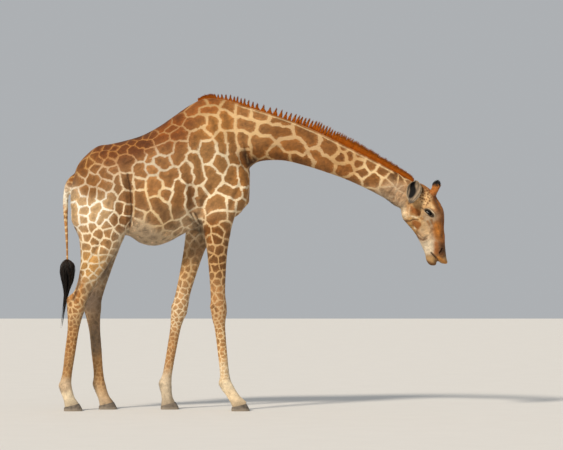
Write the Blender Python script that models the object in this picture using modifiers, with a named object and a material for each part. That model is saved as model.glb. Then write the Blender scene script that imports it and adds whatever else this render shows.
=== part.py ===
"""A standing southern giraffe, life size, with its neck stretched forward and its head hanging steeply down.

The animal faces +X, its right side is towards -Y, and its soles stand on Z = 0.
The flesh is modelled whole, as lofts through anatomical stations that a voxel remesh joins. Thin cuts then
part it at the joints that people name. Hooves, eyes, ears, mane and tail tuft are fitted to it with a gap.
"""

import math

import bmesh
import bpy
from mathutils import Matrix, Vector

# Driving dimensions, in metres
GAP = 0.0004            # clearance between neighbouring pieces
EYE_RADIUS = 0.032
EAR_LENGTH = 0.254
EAR_HALF_WIDTHS = (0.030, 0.048, 0.058, 0.061, 0.059, 0.051, 0.037, 0.020, 0.005)
EAR_THICKNESS = 0.009
EAR_ROLL = 122          # degrees that the ear wraps to each side at its root
EAR_FLAT = 35           # and at its tip
EAR_UNROLL = 1.5        # how soon it opens from the one to the other
EAR_CUP = 0.62          # depth of the ear's hollow, as a share of a round one's
EAR_SEAT = 0.5          # how far the rim stands out of the line from root to tip
HOOF_CLEFT = 0.010      # gap between the two claws of a foot
CLAW_WIDTH = 0.064
CLAW_WIDEST = 0.45      # how far forward a claw is widest
CLAW_SQUARE = 2.5       # power of its outline, 2 for an ellipse
FLESH_VOXEL = 0.010     # remesh size of the flesh
FLESH_TRIANGLES = 3400
BLEND_STEPS = 24        # smoothing passes where swellings meet
EVEN_STEPS = 3          # and everywhere

SIDES = {"right": -1, "left": 1}
RING_POINTS = 20        # points round a loft's ring
RING_STEPS = 4          # rings from one station to the next

EAR_COLUMNS = 6
JOINT_PLATE_HALF_LENGTH = 0.150
JOINT_PLATE_HALF_WIDTH = 0.125
CORONET_BOX = (0.30, 0.22, 0.110)
BLEND_FULL = 0.375      # share of a blend zone's reach that is smoothed in full

# Directions of the right ear and the places of head parts, with Y counted outward
EAR_ROOT = (1.396, 0.084, 1.972)
EAR_AXIS = (-0.232, 0.550, -0.803)
EAR_OPENING = (0.10, 0.80, 0.58)
EYE_PLACE = (1.492, 0.101, 1.693)
NOSTRIL_PLACE = (1.606, 0.059, 1.366)
NOSTRIL_RADII = (0.008, 0.010, 0.020)
NOSTRIL_TILT = -20.0

# A station is one cross-section of a loft: its front or upper point (x, z), its rear or lower point (x, z),
# its half width, and where asked how far up its widest line lies (0 rear, 1 front) and how square it is.
TRUNK = {
    "pin bones": ((-1.572, 1.905), (-1.568, 1.760), 0.060),
    "buttock": ((-1.528, 2.085), (-1.545, 1.600), 0.160),
    "tail head": ((-1.450, 2.190), (-1.480, 1.450), 0.225, 0.50),
    "croup": ((-1.345, 2.272), (-1.370, 1.430), 0.262, 0.55),
    "hip bones": ((-1.240, 2.290), (-1.240, 1.440), 0.280, 0.58),
    "loin": ((-1.100, 2.322), (-1.100, 1.500), 0.285, 0.55),
    "last rib": ((-0.960, 2.366), (-0.970, 1.432), 0.315, 0.46),
    "mid back": ((-0.820, 2.440), (-0.850, 1.412), 0.330, 0.42),
    "back": ((-0.690, 2.530), (-0.730, 1.446), 0.322, 0.40),
    "behind withers": ((-0.560, 2.620), (-0.610, 1.510), 0.298, 0.38),
    "withers": ((-0.430, 2.682), (-0.490, 1.560), 0.268, 0.36),
    "shoulder": ((-0.310, 2.684), (-0.370, 1.575), 0.246, 0.36),
    "shoulder front": ((-0.220, 2.640), (-0.240, 1.600), 0.222, 0.38),
    "breast": ((-0.110, 2.300), (-0.128, 1.690), 0.160, 0.45),
    "breast front": ((-0.032, 2.060), (-0.040, 1.780), 0.085, 0.50),
}
NECK = {
    "root": ((-0.420, 2.640), (-0.300, 1.900), 0.150),
    "base": ((-0.230, 2.672), (-0.130, 1.985), 0.158, 0.42),
    "above breast": ((-0.075, 2.620), (-0.030, 2.085), 0.146, 0.44),
    "lower": ((0.100, 2.566), (0.060, 2.136), 0.126, 0.48),
    "lower middle": ((0.300, 2.500), (0.245, 2.143), 0.111),
    "middle": ((0.500, 2.420), (0.420, 2.104), 0.100),
    "upper middle": ((0.700, 2.324), (0.600, 2.048), 0.091),
    "upper": ((0.900, 2.222), (0.785, 1.982), 0.083),
    "nape": ((1.100, 2.120), (0.975, 1.896), 0.078),
    "throat": ((1.260, 2.028), (1.125, 1.816), 0.080),
    "behind jaw": ((1.370, 1.965), (1.215, 1.752), 0.084),
    "inside head": ((1.430, 1.900), (1.290, 1.720), 0.070),
}
SKULL = {
    "nape": ((1.352, 1.965), (1.262, 1.850), 0.060),
    "poll": ((1.425, 1.950), (1.290, 1.790), 0.088),
    "crown": ((1.498, 1.914), (1.330, 1.720), 0.108, 0.62),
    "horn base": ((1.556, 1.862), (1.350, 1.672), 0.122, 0.64),
    "brow": ((1.588, 1.797), (1.362, 1.628), 0.130, 0.60),
    "eye": ((1.631, 1.724), (1.392, 1.580), 0.128, 0.58),
    "below eye": ((1.636, 1.640), (1.420, 1.530), 0.103, 0.55),
    "cheek end": ((1.634, 1.560), (1.450, 1.476), 0.080, 0.52),
    "nose bridge": ((1.643, 1.478), (1.474, 1.424), 0.067, 0.50),
    "above nostril": ((1.649, 1.400), (1.496, 1.374), 0.061, 0.48),
    "nostril": ((1.654, 1.345), (1.508, 1.334), 0.060, 0.50),
    "upper lip": ((1.660, 1.300), (1.556, 1.302), 0.056, 0.50),
    "lip edge": ((1.668, 1.270), (1.590, 1.272), 0.046, 0.50),
    "lip tip": ((1.658, 1.252), (1.612, 1.257), 0.026, 0.50),
}
JAW = {
    "angle": ((1.360, 1.745), (1.262, 1.720), 0.070),
    "cheek top": ((1.400, 1.690), (1.276, 1.652), 0.092),
    "cheek": ((1.440, 1.630), (1.318, 1.598), 0.090),
    "cheek bottom": ((1.470, 1.560), (1.362, 1.545), 0.074),
    "bars": ((1.500, 1.490), (1.404, 1.482), 0.056),
    "chin groove": ((1.524, 1.410), (1.443, 1.402), 0.046),
    "corner": ((1.556, 1.345), (1.468, 1.340), 0.043),
    "chin": ((1.568, 1.292), (1.478, 1.290), 0.044),
    "lower lip": ((1.572, 1.256), (1.496, 1.258), 0.036),
    "lower lip tip": ((1.560, 1.239), (1.518, 1.240), 0.018),
}
TAIL = {
    "root": ((-1.500, 2.060), (-1.480, 1.960), 0.040),
    "dock": ((-1.566, 2.025), (-1.535, 1.950), 0.040),
    "bend": ((-1.622, 1.955), (-1.570, 1.920), 0.034),
    "upper": ((-1.645, 1.840), (-1.588, 1.840), 0.027),
    "middle": ((-1.640, 1.660), (-1.597, 1.660), 0.021),
    "lower": ((-1.625, 1.460), (-1.594, 1.460), 0.015),
    "end": ((-1.616, 1.270), (-1.592, 1.270), 0.011),
}
TAIL_TUFT = {
    "top": ((-1.622, 1.300), (-1.586, 1.300), 0.016),
    "swell": ((-1.648, 1.245), (-1.568, 1.255), 0.034),
    "widest": ((-1.662, 1.185), (-1.545, 1.190), 0.046),
    "waist": ((-1.648, 1.100), (-1.555, 1.100), 0.038),
    "strands": ((-1.634, 1.010), (-1.590, 1.010), 0.024),
    "lower": ((-1.636, 0.900), (-1.610, 0.900), 0.016),
    "near tip": ((-1.652, 0.780), (-1.626, 0.780), 0.012),
    "tip": ((-1.660, 0.690), (-1.646, 0.690), 0.006),
}

# A leg's stations are given along its bones: bone, share of its length, front and rear reach from the bone's
# line, and half width. The same stations make both legs of a pair, on the joints of its own pose.
HIND_STATIONS = (
    ("thigh", 0.05, 0.150, 0.190, 0.095),
    ("thigh", 0.35, 0.200, 0.270, 0.118),
    ("thigh", 0.68, 0.185, 0.315, 0.124),
    ("thigh", 0.98, 0.120, 0.300, 0.108),
    ("gaskin", 0.15, 0.105, 0.245, 0.090),
    ("gaskin", 0.35, 0.092, 0.180, 0.076),
    ("gaskin", 0.55, 0.084, 0.122, 0.064),
    ("gaskin", 0.78, 0.078, 0.076, 0.054),
    ("gaskin", 0.98, 0.080, 0.088, 0.055),
    ("cannon", 0.09, 0.074, 0.084, 0.053),
    ("cannon", 0.20, 0.060, 0.068, 0.046),
    ("cannon", 0.36, 0.050, 0.052, 0.040),
    ("cannon", 0.60, 0.047, 0.050, 0.037),
    ("cannon", 0.82, 0.043, 0.046, 0.038),
    ("cannon", 0.95, 0.047, 0.054, 0.045),
    ("pastern", 0.05, 0.052, 0.058, 0.051),
    ("pastern", 0.35, 0.048, 0.058, 0.049),
    ("pastern", 0.70, 0.050, 0.054, 0.049),
    ("pastern", 1.00, 0.068, 0.062, 0.058),
    ("pastern", 1.14, 0.075, 0.066, 0.064),
    ("pastern", 1.26, 0.077, 0.067, 0.066),
)
FORE_STATIONS = (
    ("arm", 0.00, 0.110, 0.120, 0.060),
    ("arm", 0.30, 0.140, 0.165, 0.092),
    ("arm", 0.70, 0.135, 0.190, 0.100),
    ("forearm", 0.02, 0.130, 0.140, 0.092),
    ("forearm", 0.15, 0.110, 0.120, 0.084),
    ("forearm", 0.35, 0.085, 0.096, 0.073),
    ("forearm", 0.60, 0.070, 0.078, 0.062),
    ("forearm", 0.82, 0.064, 0.068, 0.056),
    ("forearm", 0.96, 0.074, 0.066, 0.058),
    ("cannon", 0.04, 0.074, 0.066, 0.057),
    ("cannon", 0.14, 0.058, 0.062, 0.049),
    ("cannon", 0.26, 0.047, 0.050, 0.041),
    ("cannon", 0.55, 0.042, 0.045, 0.036),
    ("cannon", 0.84, 0.042, 0.044, 0.038),
    ("cannon", 0.97, 0.050, 0.056, 0.048),
    ("pastern", 0.18, 0.052, 0.058, 0.050),
    ("pastern", 0.45, 0.048, 0.053, 0.048),
    ("pastern", 0.75, 0.052, 0.053, 0.050),
    ("pastern", 1.00, 0.068, 0.062, 0.058),
    ("pastern", 1.14, 0.075, 0.066, 0.064),
    ("pastern", 1.26, 0.077, 0.067, 0.066),
)
# Joint places (x, z) of each leg from top to sole, and how far each lies from the mid plane
HIND_BONES = ("thigh", "gaskin", "cannon", "pastern")
FORE_BONES = ("arm", "forearm", "cannon", "pastern")
HIND_SPREAD = (0.120, 0.165, 0.150, 0.148, 0.150)
FORE_SPREAD = (0.120, 0.160, 0.148, 0.146, 0.150)
LEGS = {
    "hindleg_right": {
        "bones": HIND_BONES,
        "stations": HIND_STATIONS,
        "spread": HIND_SPREAD,
        "joints": ((-1.330, 2.020), (-1.215, 1.500), (-1.510, 0.930), (-1.608, 0.215), (-1.560, 0.050)),
    },
    "hindleg_left": {
        "bones": HIND_BONES,
        "stations": HIND_STATIONS,
        "spread": HIND_SPREAD,
        "joints": ((-1.330, 2.020), (-1.235, 1.500), (-1.400, 0.930), (-1.335, 0.215), (-1.280, 0.050)),
    },
    "foreleg_right": {
        "bones": FORE_BONES,
        "stations": FORE_STATIONS,
        "spread": FORE_SPREAD,
        "joints": ((-0.190, 2.000), (-0.310, 1.620), (-0.304, 0.870), (-0.240, 0.230), (-0.130, 0.055)),
    },
    "foreleg_left": {
        "bones": FORE_BONES,
        "stations": FORE_STATIONS,
        "spread": FORE_SPREAD,
        "joints": ((-0.290, 2.000), (-0.450, 1.620), (-0.648, 0.870), (-0.764, 0.220), (-0.745, 0.050)),
    },
}
# Heights of the hoof's rings, with the toe's and the heel's reach from the foot's middle and the half width
CLAW = {
    "sole": (0.000, 0.095, 0.059, 0.0335),
    "edge": (0.010, 0.094, 0.061, 0.0340),
    "wall": (0.035, 0.081, 0.058, 0.0330),
    "below coronet": (0.062, 0.066, 0.053, 0.0315),
    "inside": (0.100, 0.050, 0.048, 0.0290),
}
CORONET = {"front": (0.080, 0.066), "rear": (-0.062, 0.030)}
MANE = {
    "withers": ((-0.470, 2.682), (-0.465, 2.640), 0.012),
    "start": ((-0.420, 2.706), (-0.430, 2.640), 0.016),
    "shoulders": ((-0.300, 2.722), (-0.310, 2.640), 0.017),
    "neck base": ((-0.160, 2.712), (-0.175, 2.610), 0.017),
    "lower": ((0.069, 2.646), (0.045, 2.530), 0.017),
    "lower middle": ((0.240, 2.596), (0.200, 2.480), 0.017),
    "middle": ((0.420, 2.541), (0.365, 2.430), 0.017),
    "upper middle": ((0.620, 2.466), (0.560, 2.345), 0.017),
    "upper": ((0.820, 2.364), (0.750, 2.245), 0.017),
    "nape": ((1.030, 2.242), (0.955, 2.140), 0.016),
    "behind poll": ((1.220, 2.124), (1.145, 2.040), 0.015),
    "poll": ((1.345, 2.040), (1.295, 1.960), 0.013),
    "end": ((1.392, 1.990), (1.360, 1.930), 0.008),
}
OSSICONE = {
    "inside": ((1.556, 1.800), (1.480, 1.815), 0.036, 0.044),
    "base": ((1.567, 1.850), (1.498, 1.866), 0.034, 0.053),
    "shaft": ((1.580, 1.880), (1.522, 1.893), 0.026, 0.062),
    "neck": ((1.591, 1.903), (1.533, 1.911), 0.025, 0.066),
    "knob": ((1.599, 1.924), (1.538, 1.935), 0.028, 0.070),
    "top": ((1.591, 1.943), (1.550, 1.948), 0.021, 0.072),
}
# Swellings of the flesh: centre, radii and tilt in the side view, made on both sides
MUSCLES = {
    "buttock": ((-1.440, 0.110, 1.830), (0.135, 0.105, 0.290), 3.0),
    "hip bone": ((-1.200, 0.160, 2.160), (0.140, 0.072, 0.072), 12.0),
    "shoulder blade": ((-0.330, 0.118, 2.240), (0.130, 0.105, 0.340), -14.0),
    "shoulder point": ((-0.190, 0.110, 1.880), (0.145, 0.100, 0.230), 4.0),
    "orbit": ((1.490, 0.082, 1.708), (0.075, 0.047, 0.054), 50.0),
    "cheek": ((1.385, 0.062, 1.660), (0.115, 0.036, 0.075), 60.0),
    "nostril rim": ((1.606, 0.036, 1.352), (0.036, 0.026, 0.062), -5.0),
}
# Where the creases between two swellings are smoothed away: centre and reach, made on both sides
BLENDS = (
    ((-1.300, 0.200, 1.850), 0.420),
    ((-0.300, 0.180, 2.000), 0.480),
    ((-0.150, 0.080, 2.400), 0.330),
    ((-0.130, 0.120, 1.900), 0.300),
    ((-1.190, 0.180, 2.180), 0.300),
    ((-1.120, 0.180, 1.550), 0.200),
    ((-0.480, 0.200, 1.620), 0.200),
    ((1.270, 0.040, 1.850), 0.170),
    ((1.420, 0.070, 1.600), 0.130),
)
# Parting lines seen from the side, upper end to lower end or front to rear
PARTINGS = (
    ((-0.270, 2.830), (-0.015, 2.005)),
    ((0.690, 2.520), (0.400, 1.960)),
    ((1.405, 2.085), (1.195, 1.665)),
    ((-0.100, 1.425), (-0.670, 1.425)),
    ((-1.050, 1.390), (-1.600, 1.390)),
)
PARTING_HALF_WIDTH = 0.42
# A place inside each part of the flesh
PLACES = {
    "trunk": (-0.80, 0.0, 2.00),
    "neck_lower": (0.20, 0.0, 2.33),
    "neck_upper": (0.90, 0.0, 2.10),
    "head": (1.48, 0.0, 1.62),
}
# Colour, roughness
COLOURS = {
    "coat": ((0.42, 0.22, 0.10), 0.75),
    "face": ((0.45, 0.26, 0.14), 0.70),
    "leg": ((0.60, 0.45, 0.30), 0.75),
    "mane": ((0.40, 0.16, 0.05), 0.80),
    "black hair": ((0.02, 0.018, 0.016), 0.75),
    "ear": ((0.50, 0.36, 0.24), 0.75),
    "horn": ((0.45, 0.26, 0.12), 0.70),
    "hoof": ((0.16, 0.13, 0.11), 0.50),
    "eye": ((0.012, 0.010, 0.009), 0.12),
}


def clear_scene():
    for obj in list(bpy.data.objects):
        bpy.data.objects.remove(obj, do_unlink=True)
    for collection in list(bpy.data.collections):
        bpy.data.collections.remove(collection)


def new_collection(name):
    collection = bpy.data.collections.new(name)
    bpy.context.scene.collection.children.link(collection)
    return collection


def add_object(name, mesh, collection):
    obj = bpy.data.objects.new(name, mesh)
    collection.objects.link(obj)
    return obj


def spline_between(before, start, end, after, share):
    """Catmull-Rom blend of two neighbouring stations, number by number."""
    square, cube = share * share, share * share * share
    weights = (
        -0.5 * share + square - 0.5 * cube,
        1.0 - 2.5 * square + 1.5 * cube,
        0.5 * share + 2.0 * square - 1.5 * cube,
        -0.5 * square + 0.5 * cube,
    )
    rows = zip(before, start, end, after)
    return [sum(w * value for w, value in zip(weights, row)) for row in rows]


def refined(stations, steps):
    """The stations with smooth ones added between each two."""
    last = len(stations) - 1
    found = []
    for index in range(last):
        four = [stations[min(max(index + k, 0), last)] for k in (-1, 0, 1, 2)]
        found += [spline_between(*four, step / steps) for step in range(steps)]
    return found + [list(stations[last])]


def full_station(front, rear, half_width, widest=0.5, square=2.0, side=0.0):
    return (*front, *rear, half_width, widest, square, side)


def ring_places(station, count):
    """Points round one cross-section: an egg-shaped superellipse between its front and rear points."""
    front_x, front_z, rear_x, rear_z, half_width, widest, square, side = station
    front, rear = Vector((front_x, side, front_z)), Vector((rear_x, side, rear_z))
    middle = rear.lerp(front, widest)
    power = 2.0 / square
    places = []
    for index in range(count):
        turn = 2 * math.pi * index / count
        along, across = math.cos(turn), math.sin(turn)
        reach = (front if along > 0 else rear) - middle
        offset = reach * abs(along) ** power
        offset.y += math.copysign(abs(across) ** power, across) * half_width
        places.append(middle + offset)
    return places


def loft(name, stations, collection, steps=RING_STEPS, count=RING_POINTS):
    """A closed tube through cross-sections that differ from end to end."""
    bm = bmesh.new()
    rings = []
    for station in refined(stations, steps):
        rings.append([bm.verts.new(place) for place in ring_places(station, count)])
    for ring, following in zip(rings, rings[1:]):
        for k in range(count):
            after = (k + 1) % count
            bm.faces.new((ring[k], ring[after], following[after], following[k]))
    bm.faces.new(reversed(rings[0]))
    bm.faces.new(rings[-1])
    bmesh.ops.recalc_face_normals(bm, faces=bm.faces)
    mesh = bpy.data.meshes.new(name)
    bm.to_mesh(mesh)
    bm.free()
    return add_object(name, mesh, collection)


def body_loft(name, table, collection, steps=RING_STEPS, count=RING_POINTS):
    return loft(name, [full_station(*row) for row in table.values()], collection, steps, count)


def leg_station(leg, side, bone, share, front, rear, half_width):
    """One cross-section of a leg, square to its bone, or near a joint on the line that halves the bend."""
    joints, index = leg["joints"], leg["bones"].index(bone)
    leans = [math.atan2(b[0] - a[0], a[1] - b[1]) for a, b in zip(joints, joints[1:])]
    if share < 0.5:
        neighbour = leans[max(index - 1, 0)]
    else:
        neighbour = leans[min(index + 1, len(leans) - 1)]
    lean = leans[index] + (neighbour - leans[index]) * abs(share - 0.5)
    (top_x, top_z), (low_x, low_z) = joints[index], joints[index + 1]
    x, z = top_x + (low_x - top_x) * share, top_z + (low_z - top_z) * share
    across = Vector((math.cos(lean), math.sin(lean)))
    spread = leg["spread"]
    y = side * (spread[index] + (spread[index + 1] - spread[index]) * share)
    front_point = (x + across.x * front, z + across.y * front)
    rear_point = (x - across.x * rear, z - across.y * rear)
    return full_station(front_point, rear_point, half_width, side=y)


def leg_loft(name, leg, collection):
    side = SIDES[name.split("_")[1]]
    rows = [leg_station(leg, side, *station) for station in leg["stations"]]
    return loft(name, rows, collection)


def baked(obj, name, collection):
    """A plain mesh object made from another one with its modifiers applied."""
    bpy.context.view_layer.update()
    graph = bpy.context.evaluated_depsgraph_get()
    mesh = bpy.data.meshes.new_from_object(obj.evaluated_get(graph), depsgraph=graph)
    mesh.transform(obj.matrix_world)
    return add_object(name, mesh, collection)


def joined(objects, name, collection):
    """One mesh object that holds several closed meshes."""
    bm = bmesh.new()
    for obj in objects:
        bm.from_mesh(obj.data)
        bpy.data.objects.remove(obj, do_unlink=True)
    mesh = bpy.data.meshes.new(name)
    bm.to_mesh(mesh)
    bm.free()
    return add_object(name, mesh, collection)


def modified(obj, name, collection, modifiers):
    """The object with modifiers applied, given as (type, settings) pairs; the first object is removed."""
    for kind, settings in modifiers:
        modifier = obj.modifiers.new(kind.title(), kind)
        for key, value in settings.items():
            setattr(modifier, key, value)
    result = baked(obj, name, collection)
    bpy.data.objects.remove(obj, do_unlink=True)
    return result


def weigh_blends(obj):
    """A vertex group that is full in the blend zones and fades out of them."""
    group = obj.vertex_groups.new(name="blend")
    zones = [(Vector((x, y * side, z)), reach) for (x, y, z), reach in BLENDS for side in SIDES.values()]
    for vertex in obj.data.vertices:
        share = max(1.0 - (vertex.co - centre).length / reach for centre, reach in zones)
        if share > 0:
            group.add([vertex.index], min(1.0, share / (1.0 - BLEND_FULL)), "REPLACE")


def slab(name, start, end, collection):
    """A thin plate square to the side view, along the line between two places."""
    run_x, run_z = end[0] - start[0], end[1] - start[1]
    middle = Vector((start[0] + run_x / 2, 0.0, start[1] + run_z / 2))
    turn = Matrix.Rotation(-math.atan2(run_z, run_x), 4, "Y")
    return box(name, middle, turn, (math.hypot(run_x, run_z), 2 * PARTING_HALF_WIDTH, GAP), collection)


def box(name, middle, turn, size, collection):
    bm = bmesh.new()
    bmesh.ops.create_cube(bm, size=1.0)
    stretch = Matrix.Diagonal((*size, 1.0))
    bmesh.ops.transform(bm, matrix=Matrix.Translation(middle) @ turn @ stretch, verts=bm.verts)
    mesh = bpy.data.meshes.new(name)
    bm.to_mesh(mesh)
    bm.free()
    return add_object(name, mesh, collection)


def joint_slab(leg, side, index, collection):
    """A parting plate through one joint of a leg, on the line that halves its bend."""
    joints = leg["joints"]
    (x, z), (above_x, above_z), (below_x, below_z) = joints[index], joints[index - 1], joints[index + 1]
    lean = 0.5 * (math.atan2(x - above_x, above_z - z) + math.atan2(below_x - x, z - below_z))
    turn = Matrix.Rotation(-lean, 4, "Y")
    middle = Vector((x, side * leg["spread"][index], z))
    size = (2 * JOINT_PLATE_HALF_LENGTH, 2 * JOINT_PLATE_HALF_WIDTH, GAP)
    return box("joint plate", middle, turn, size, collection)


def coronet_box(leg, side, above, collection):
    """A box with one face on the slope between hoof and pastern, lying above or below that slope."""
    foot = Vector((leg["joints"][-1][0], side * leg["spread"][-1], 0.0))
    (front_x, front_z), (rear_x, rear_z) = CORONET["front"], CORONET["rear"]
    slope = math.atan2(front_z - rear_z, front_x - rear_x)
    turn = Matrix.Rotation(-slope, 4, "Y")
    middle = foot + Vector(((front_x + rear_x) / 2, 0.0, (front_z + rear_z) / 2))
    half_height = CORONET_BOX[2] / 2
    shift = half_height - GAP if above else -half_height
    middle += turn.to_3x3() @ Vector((0.0, 0.0, shift))
    return box("coronet box", middle, turn, CORONET_BOX, collection)


def cut(obj, cutter, name, collection):
    """The object less the cutter; both are removed."""
    settings = {"operation": "DIFFERENCE", "object": cutter, "solver": "EXACT"}
    result = modified(obj, name, collection, [("BOOLEAN", settings)])
    bpy.data.objects.remove(cutter, do_unlink=True)
    return result


def inflated(obj, collection):
    """A copy of the object that stands off from it by the gap."""
    copy = add_object("clearance", obj.data.copy(), collection)
    settings = {"strength": GAP, "mid_level": 0.0}
    return modified(copy, "clearance", collection, [("DISPLACE", settings)])


def loose_parts(obj, collection):
    """One object for each closed piece of a mesh."""
    bm = bmesh.new()
    bm.from_mesh(obj.data)
    found, seen = [], set()
    for face in bm.faces:
        if face in seen:
            continue
        queue, piece = [face], {face}
        while queue:
            for edge in queue.pop().edges:
                fresh = [other for other in edge.link_faces if other not in piece]
                piece.update(fresh)
                queue += fresh
        seen |= piece
        found.append(sorted(piece, key=lambda member: member.index))
    objects = []
    for piece in found:
        part = bmesh.new()
        copies = {}
        for face in piece:
            for vert in face.verts:
                if vert not in copies:
                    copies[vert] = part.verts.new(vert.co)
            part.faces.new([copies[vert] for vert in face.verts])
        mesh = bpy.data.meshes.new("piece")
        part.to_mesh(mesh)
        part.free()
        objects.append(add_object("piece", mesh, collection))
    bm.free()
    bpy.data.objects.remove(obj, do_unlink=True)
    return objects


def middle_of(obj):
    corners = [vertex.co for vertex in obj.data.vertices]
    low = Vector(min(corner[k] for corner in corners) for k in range(3))
    high = Vector(max(corner[k] for corner in corners) for k in range(3))
    return (low + high) / 2


def flesh_places():
    """A place inside every part of the flesh, by its name."""
    places = {name: Vector(place) for name, place in PLACES.items()}
    for name, leg in LEGS.items():
        joints, spread = leg["joints"], leg["spread"]
        for index, bone in enumerate(leg["bones"][1:], 1):
            (x, z), (low_x, low_z) = joints[index], joints[index + 1]
            y = SIDES[name.split("_")[1]] * (spread[index] + spread[index + 1]) / 2
            places[f"{name}_{bone}"] = Vector(((x + low_x) / 2, y, (z + low_z) / 2))
    return places


def outward(place, side):
    return Vector((place[0], place[1] * side, place[2]))


def ear(side, collection):
    """A cupped leaf: a strip rolled up at its root that opens towards its tip."""
    axis = outward(EAR_AXIS, side).normalized()
    opening = outward(EAR_OPENING, side)
    opening = (opening - axis * opening.dot(axis)).normalized()
    across = axis.cross(opening)
    root = outward(EAR_ROOT, side)
    bm = bmesh.new()
    rows = []
    for i, half_width in enumerate(EAR_HALF_WIDTHS):
        share = i / (len(EAR_HALF_WIDTHS) - 1)
        roll = math.radians(EAR_FLAT + (EAR_ROLL - EAR_FLAT) * (1 - share) ** EAR_UNROLL)
        radius = half_width / math.sin(min(roll, math.pi / 2))
        row = []
        for j in range(EAR_COLUMNS + 1):
            angle = roll * (2 * j / EAR_COLUMNS - 1)
            place = root + axis * EAR_LENGTH * share + across * radius * math.sin(angle)
            depth = EAR_CUP * radius * (math.cos(angle) - math.cos(roll) * EAR_SEAT)
            row.append(bm.verts.new(place - opening * depth))
        rows.append(row)
    for row, following in zip(rows, rows[1:]):
        for j in range(EAR_COLUMNS):
            bm.faces.new((row[j], row[j + 1], following[j + 1], following[j]))
    mesh = bpy.data.meshes.new("ear")
    bm.to_mesh(mesh)
    bm.free()
    leaf = add_object("ear leaf", mesh, collection)
    settings = {"thickness": EAR_THICKNESS, "offset": 0.0, "use_even_offset": True}
    return modified(leaf, "ear", collection, [("SOLIDIFY", settings)])


def ball(name, centre, radii, tilt, collection, segments=16, rings=8):
    """An ellipsoid, tilted in the side view."""
    bm = bmesh.new()
    bmesh.ops.create_uvsphere(bm, u_segments=segments, v_segments=rings, radius=1.0)
    turn = Matrix.Rotation(math.radians(tilt), 4, "Y")
    stretch = Matrix.Diagonal((*radii, 1.0))
    bmesh.ops.transform(bm, matrix=Matrix.Translation(centre) @ turn @ stretch, verts=bm.verts)
    mesh = bpy.data.meshes.new(name)
    bm.to_mesh(mesh)
    bm.free()
    return add_object(name, mesh, collection)


def whole_flesh(shapes):
    """Head, neck, trunk and legs as one closed mesh."""
    pieces = [body_loft("body", table, shapes) for table in (TRUNK, NECK, SKULL, JAW)]
    pieces += [leg_loft(name, leg, shapes) for name, leg in LEGS.items()]
    for name, (centre, radii, tilt) in MUSCLES.items():
        pieces += [ball(name, outward(centre, side), radii, tilt, shapes) for side in SIDES.values()]
    flesh = joined(pieces, "flesh", shapes)
    flesh = modified(flesh, "flesh", shapes, [("REMESH", {"mode": "VOXEL", "voxel_size": FLESH_VOXEL})])
    weigh_blends(flesh)
    modifiers = [
        ("SMOOTH", {"factor": 0.5, "iterations": BLEND_STEPS, "vertex_group": "blend"}),
        ("SMOOTH", {"factor": 0.5, "iterations": EVEN_STEPS}),
    ]
    flesh = modified(flesh, "flesh", shapes, modifiers)
    ratio = FLESH_TRIANGLES / (2 * len(flesh.data.polygons))
    return modified(flesh, "flesh", shapes, [("DECIMATE", {"ratio": ratio})])


def parting_cutter(shapes):
    """Plates, hoof boxes, eye sockets and nostrils that are cut from the flesh."""
    cutters = [slab("parting", start, end, shapes) for start, end in PARTINGS]
    for name, leg in LEGS.items():
        side = SIDES[name.split("_")[1]]
        cutters += [joint_slab(leg, side, index, shapes) for index in (2, 3)]
        cutters.append(coronet_box(leg, side, False, shapes))
    socket = EYE_RADIUS + GAP
    for side in SIDES.values():
        cutters.append(ball("socket", outward(EYE_PLACE, side), (socket,) * 3, 0.0, shapes))
        nostril = outward(NOSTRIL_PLACE, side)
        cutters.append(ball("nostril", nostril, NOSTRIL_RADII, NOSTRIL_TILT, shapes, 12, 8))
    return joined(cutters, "cutter", shapes)


def claws(flesh_name, leg, shapes):
    """The two claws of a foot, by the side of the foot they are on."""
    side = SIDES[flesh_name.split("_")[1]]
    found = {}
    for label, way in (("outer", side), ("inner", -side)):
        foot_x, foot_y = leg["joints"][-1][0], side * leg["spread"][-1]
        rows = []
        for height, toe, heel, half_width in CLAW.values():
            y = foot_y + way * (CLAW_WIDTH + HOOF_CLEFT) / 2
            front, rear = (foot_x + toe, height), (foot_x - heel, height)
            rows.append(full_station(front, rear, half_width, CLAW_WIDEST, CLAW_SQUARE, y))
        claw = loft("claw", rows, shapes, steps=1, count=14)
        found[label] = cut(claw, coronet_box(leg, side, True, shapes), "claw", shapes)
    return found


def finish(obj, name, material, parts):
    """Name a part, give it its own material and smooth shading, and move it to the parts."""
    colour, roughness = COLOURS[material]
    made = bpy.data.materials.new(name)
    made.use_nodes = True
    shader = made.node_tree.nodes["Principled BSDF"]
    shader.inputs["Base Color"].default_value = (*colour, 1.0)
    shader.inputs["Roughness"].default_value = roughness
    made.diffuse_color = (*colour, 1.0)
    obj.name = name
    obj.data.name = name
    obj.data.materials.clear()
    obj.data.materials.append(made)
    obj.data.shade_smooth()
    for collection in list(obj.users_collection):
        collection.objects.unlink(obj)
    parts.objects.link(obj)


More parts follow.
